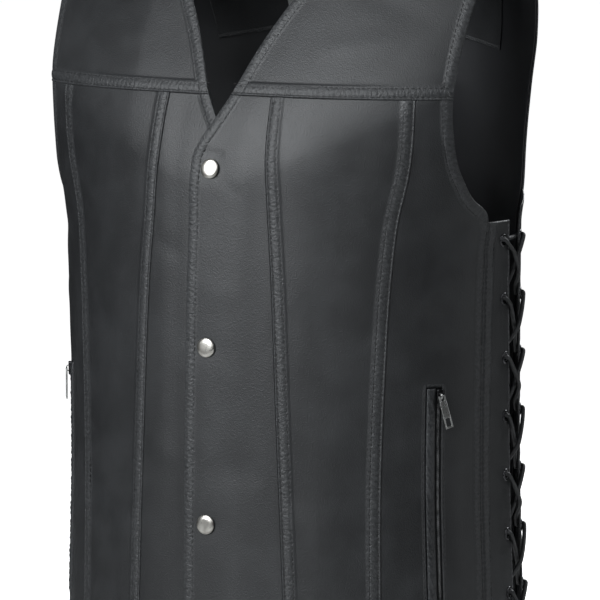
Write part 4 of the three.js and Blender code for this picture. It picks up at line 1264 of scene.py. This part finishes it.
def makeZip(side, sign):
    heights = np.linspace(pocket["bottom"] - 3, pocket["top"] + 3, 60)
    front, back = pocket["front"] - pocket["tapeUnder"], pocket["back"] + pocket["tapeUnder"]
    grid = evenGrid(heights, front, back, np.linspace(0, 1, 12))
    cutPiece(f"zip_tape_{side}", grid, edgesOf(grid, {"left": "butted"}), sign, pocket["tape"], swell=0.0,
             looks=(tapeCloth, tapeCloth), slot="zip_tape", depth=pattern["leather"] + pattern["seamGap"])
    last = pocket["top"] - slider["drop"] - slider["length"] * 0.2
    spots = np.arange(pocket["bottom"] + 4, last, zipper["pitch"] / 2)
    turn = np.where(np.arange(len(spots)) % 2, 1, -1)
    angle = pocket["zip"] + turn * zipper["offset"] / 2 / zipper["perDegree"]
    along = formPoint(angle + 0.5, spots) - formPoint(angle - 0.5, spots)
    profile = np.array([(0.55, -0.5), (1, -0.38), (1, 0.38), (0.55, 0.5)])
    points, faces = lathe(profile * (zipper["toothRadius"], zipper["toothLength"]), 8)
    centres = mirrored(clothPoint(angle, spots, -zipper["depth"]), sign)
    axes = axesAt(angle, spots, along, sign)
    makeCopies(f"zip_teeth_{side}", points[:, [2, 0, 1]], faces, centres, axes, toothSteel)


def sliderFrame(sign):
    # The slider's place, across the zip, down the zip and outwards
    angle, height = np.array([float(pocket["zip"])]), np.array([pocket["top"] - slider["drop"]])
    axes = axesAt(angle, height, formPoint(angle, height - 1) - formPoint(angle, height + 1), sign)[0]
    origin = mirrored(clothPoint(angle, height, slider["lift"])[0], sign)
    return origin, axes[1], axes[0], axes[2]


def plateMesh(name, across, along, isLeftOut, levels, place, look, bevel):
    # A flat plate from a grid of corners with cells left out, given a thickness and rounded edges
    faces = gridFaces(*across.shape, isLeftOut)
    flat = np.stack([across.ravel(), along.ravel()], 1)
    origin, right, down, out = place
    low, high = (origin + flat[:, :1] * right + flat[:, 1:] * down + level * out for level in levels)
    # Where across then down the zip turns away from outwards, the faces are turned round
    isTurned = float(np.dot(np.cross(right, down), out)) < 0
    points, groups, _ = closeShell(high, low, faces[:, ::-1] if isTurned else faces)
    used = np.unique(faces)
    keep = np.concatenate([used, used + len(flat)])
    order = np.full(2 * len(flat), -1)
    order[keep] = np.arange(len(keep))
    made = makeObject(name, points[keep], [order[group] for group in groups], [look], smooth=False)
    rounding = made.modifiers.new("rounded edges", "BEVEL")
    rounding.width = bevel / 1000
    rounding.segments = 3
    rounding.limit_method = "ANGLE"
    return made


def makeSlider(side, sign):
    # A body that narrows to its foot, and a bridge for the tab: a flat bar bent over from back to nose
    origin, right, down, out = place = sliderFrame(sign)
    along = np.array(slider["alongShares"]) * slider["length"]
    width = np.array(slider["widthShares"]) * (slider["width"] / 2)
    across = width[:, None] * np.array([-1, 1])
    body = plateMesh(f"slider_body_{side}", across, along[:, None] + 0 * across, None, (0, slider["thick"]), place,
                     gunmetal, slider["bevel"])
    attach(body, f"zip_slider_{side}")
    run, sunk = np.linspace(0, np.pi, bridge["count"]), bridge["sunk"]
    rise = slider["thick"] - sunk + np.sin(run) ** bridge["power"] * (slider["lugHeight"] + sunk - bridge["under"])
    path = origin + (-np.cos(run) * bridge["reach"])[:, None] * down + rise[:, None] * out
    quarter = np.array(bridge["quarter"])
    corner = np.concatenate([quarter * (-1, -1), (quarter * (1, -1))[::-1], quarter, (quarter * (-1, 1))[::-1]])
    ahead = unit(np.gradient(path, axis=0))
    points, groups = sweep(path, corner, np.cross(np.broadcast_to(right, ahead.shape), ahead))
    attach(makeObject(f"slider_bridge_{side}", points, groups, [zipSteel]))


def makePull(side, sign):
    # A tapered tab, forked over the bridge, with a framed hole at its foot
    origin, right, down, out = sliderFrame(sign)
    tilt = np.radians(pull["tilt"])
    tabDown = down * np.cos(tilt) + right * np.sin(tilt) * sign
    centre = origin + out * (slider["thick"] + slider["lugHeight"] - pull["pivotDrop"])
    half, length = pull["width"] / 2, pull["length"]
    holeEnd = length - pull["holeFoot"]
    rows = np.array([0, pull["fork"], pull["fork"] + pull["neck"], holeEnd - pull["holeLength"], holeEnd, length])
    width = half * mix(pull["headShare"], 1, rows / length)
    rim, fork = (np.full(len(rows), size) for size in (half - pull["holeRim"], pull["gap"]))
    across = np.stack([-width, -rim, -fork, fork, rim, width], 1)
    isLeftOut = np.zeros((5, 5), bool)
    isLeftOut[0, 2] = isLeftOut[3, 1:4] = True
    levels = (-pull["thick"] / 2, pull["thick"] / 2)
    made = plateMesh(f"pull_tab_{side}", across, rows[:, None] - pull["inset"] + 0 * across, isLeftOut, levels,
                     (centre, np.cross(tabDown, out), tabDown, out), zipSteel, pull["bevel"])
    attach(made, f"zip_pull_{side}", f"pull_{side}")


for side, sign in sides.items():
    makeWelt(side, sign)
    makeZip(side, sign)
    makeSlider(side, sign)
    makePull(side, sign)
print("pockets made")

# Snaps


def makeSnaps():
    # A cap is a shallow dome whose edge is rolled under
    run = np.linspace(0, 1, 12) * np.pi / 2
    radius = np.cos(run) ** snap["powers"][0] * snap["radius"]
    radius[-1] = snap["tip"]
    rise = mix(snap["edgeShare"], 1, np.sin(run) ** snap["powers"][1]) * snap["dome"]
    profile = np.concatenate([snap["rim"], np.stack([radius, rise], 1)])
    points, faces = lathe(profile, 56)
    for row in range(snap["count"]):
        angle, height = np.array([snap["angle"]]), np.array([snapHeight(row)])
        axes = axesAt(angle, height, formPoint(angle, height + 1) - formPoint(angle, height - 1), 1)
        centre = clothPoint(angle, height, pattern["lapShift"])
        name = f"snap_cap_{row + 1}"
        makeCopies(f"{name}_dome", points, faces, centre, axes, capSteel, name)


makeSnaps()
makeStitches()
print("snaps and stitches made")

# Floor


def makeFloor():
    # A wide floor for the camera, pale below the vest and white further out, and a small one just below it
    # that throws the studio's light back up
    for name, size, drop, share in (("floor", studio["floorSize"], 0, 1),
                                    ("floor_bounce", studio["bounceSize"], 20, studio["bounceShare"])):
        isWide = name == "floor"
        half, level = size * 500, studio["floorHeight"] * 1000 - drop
        corners = np.array([(-half, -half, level), (half, -half, level), (half, half, level), (-half, half, level)])
        look = Look(name)
        cloudy = look.noise(look.place(), 2.0)
        pale = [tuple(c * share for c in colour) for colour in ((0.80, 0.80, 0.79), (0.84, 0.84, 0.83))]
        look.set(Base_Color=look.blend(cloudy, *pale), Roughness=mixRange(cloudy, (0.8, 0.9)))
        if isWide:
            x, y, _ = look.parts(look.place())
            away = ((x * x + y * y) ** 0.5).ramp(*studio["floorPale"])
            look.set(Emission_Color=look.blend(away, (0.0, 0.0, 0.0), (1.0, 1.0, 1.0)), Emission_Strength=1.0)
        floor = makeObject(name, corners, [np.array([[0, 1, 2, 3]])], [look.material])
        floor.visible_camera = isWide
        floor.visible_diffuse = floor.visible_glossy = floor.visible_shadow = not isWide


makeFloor()
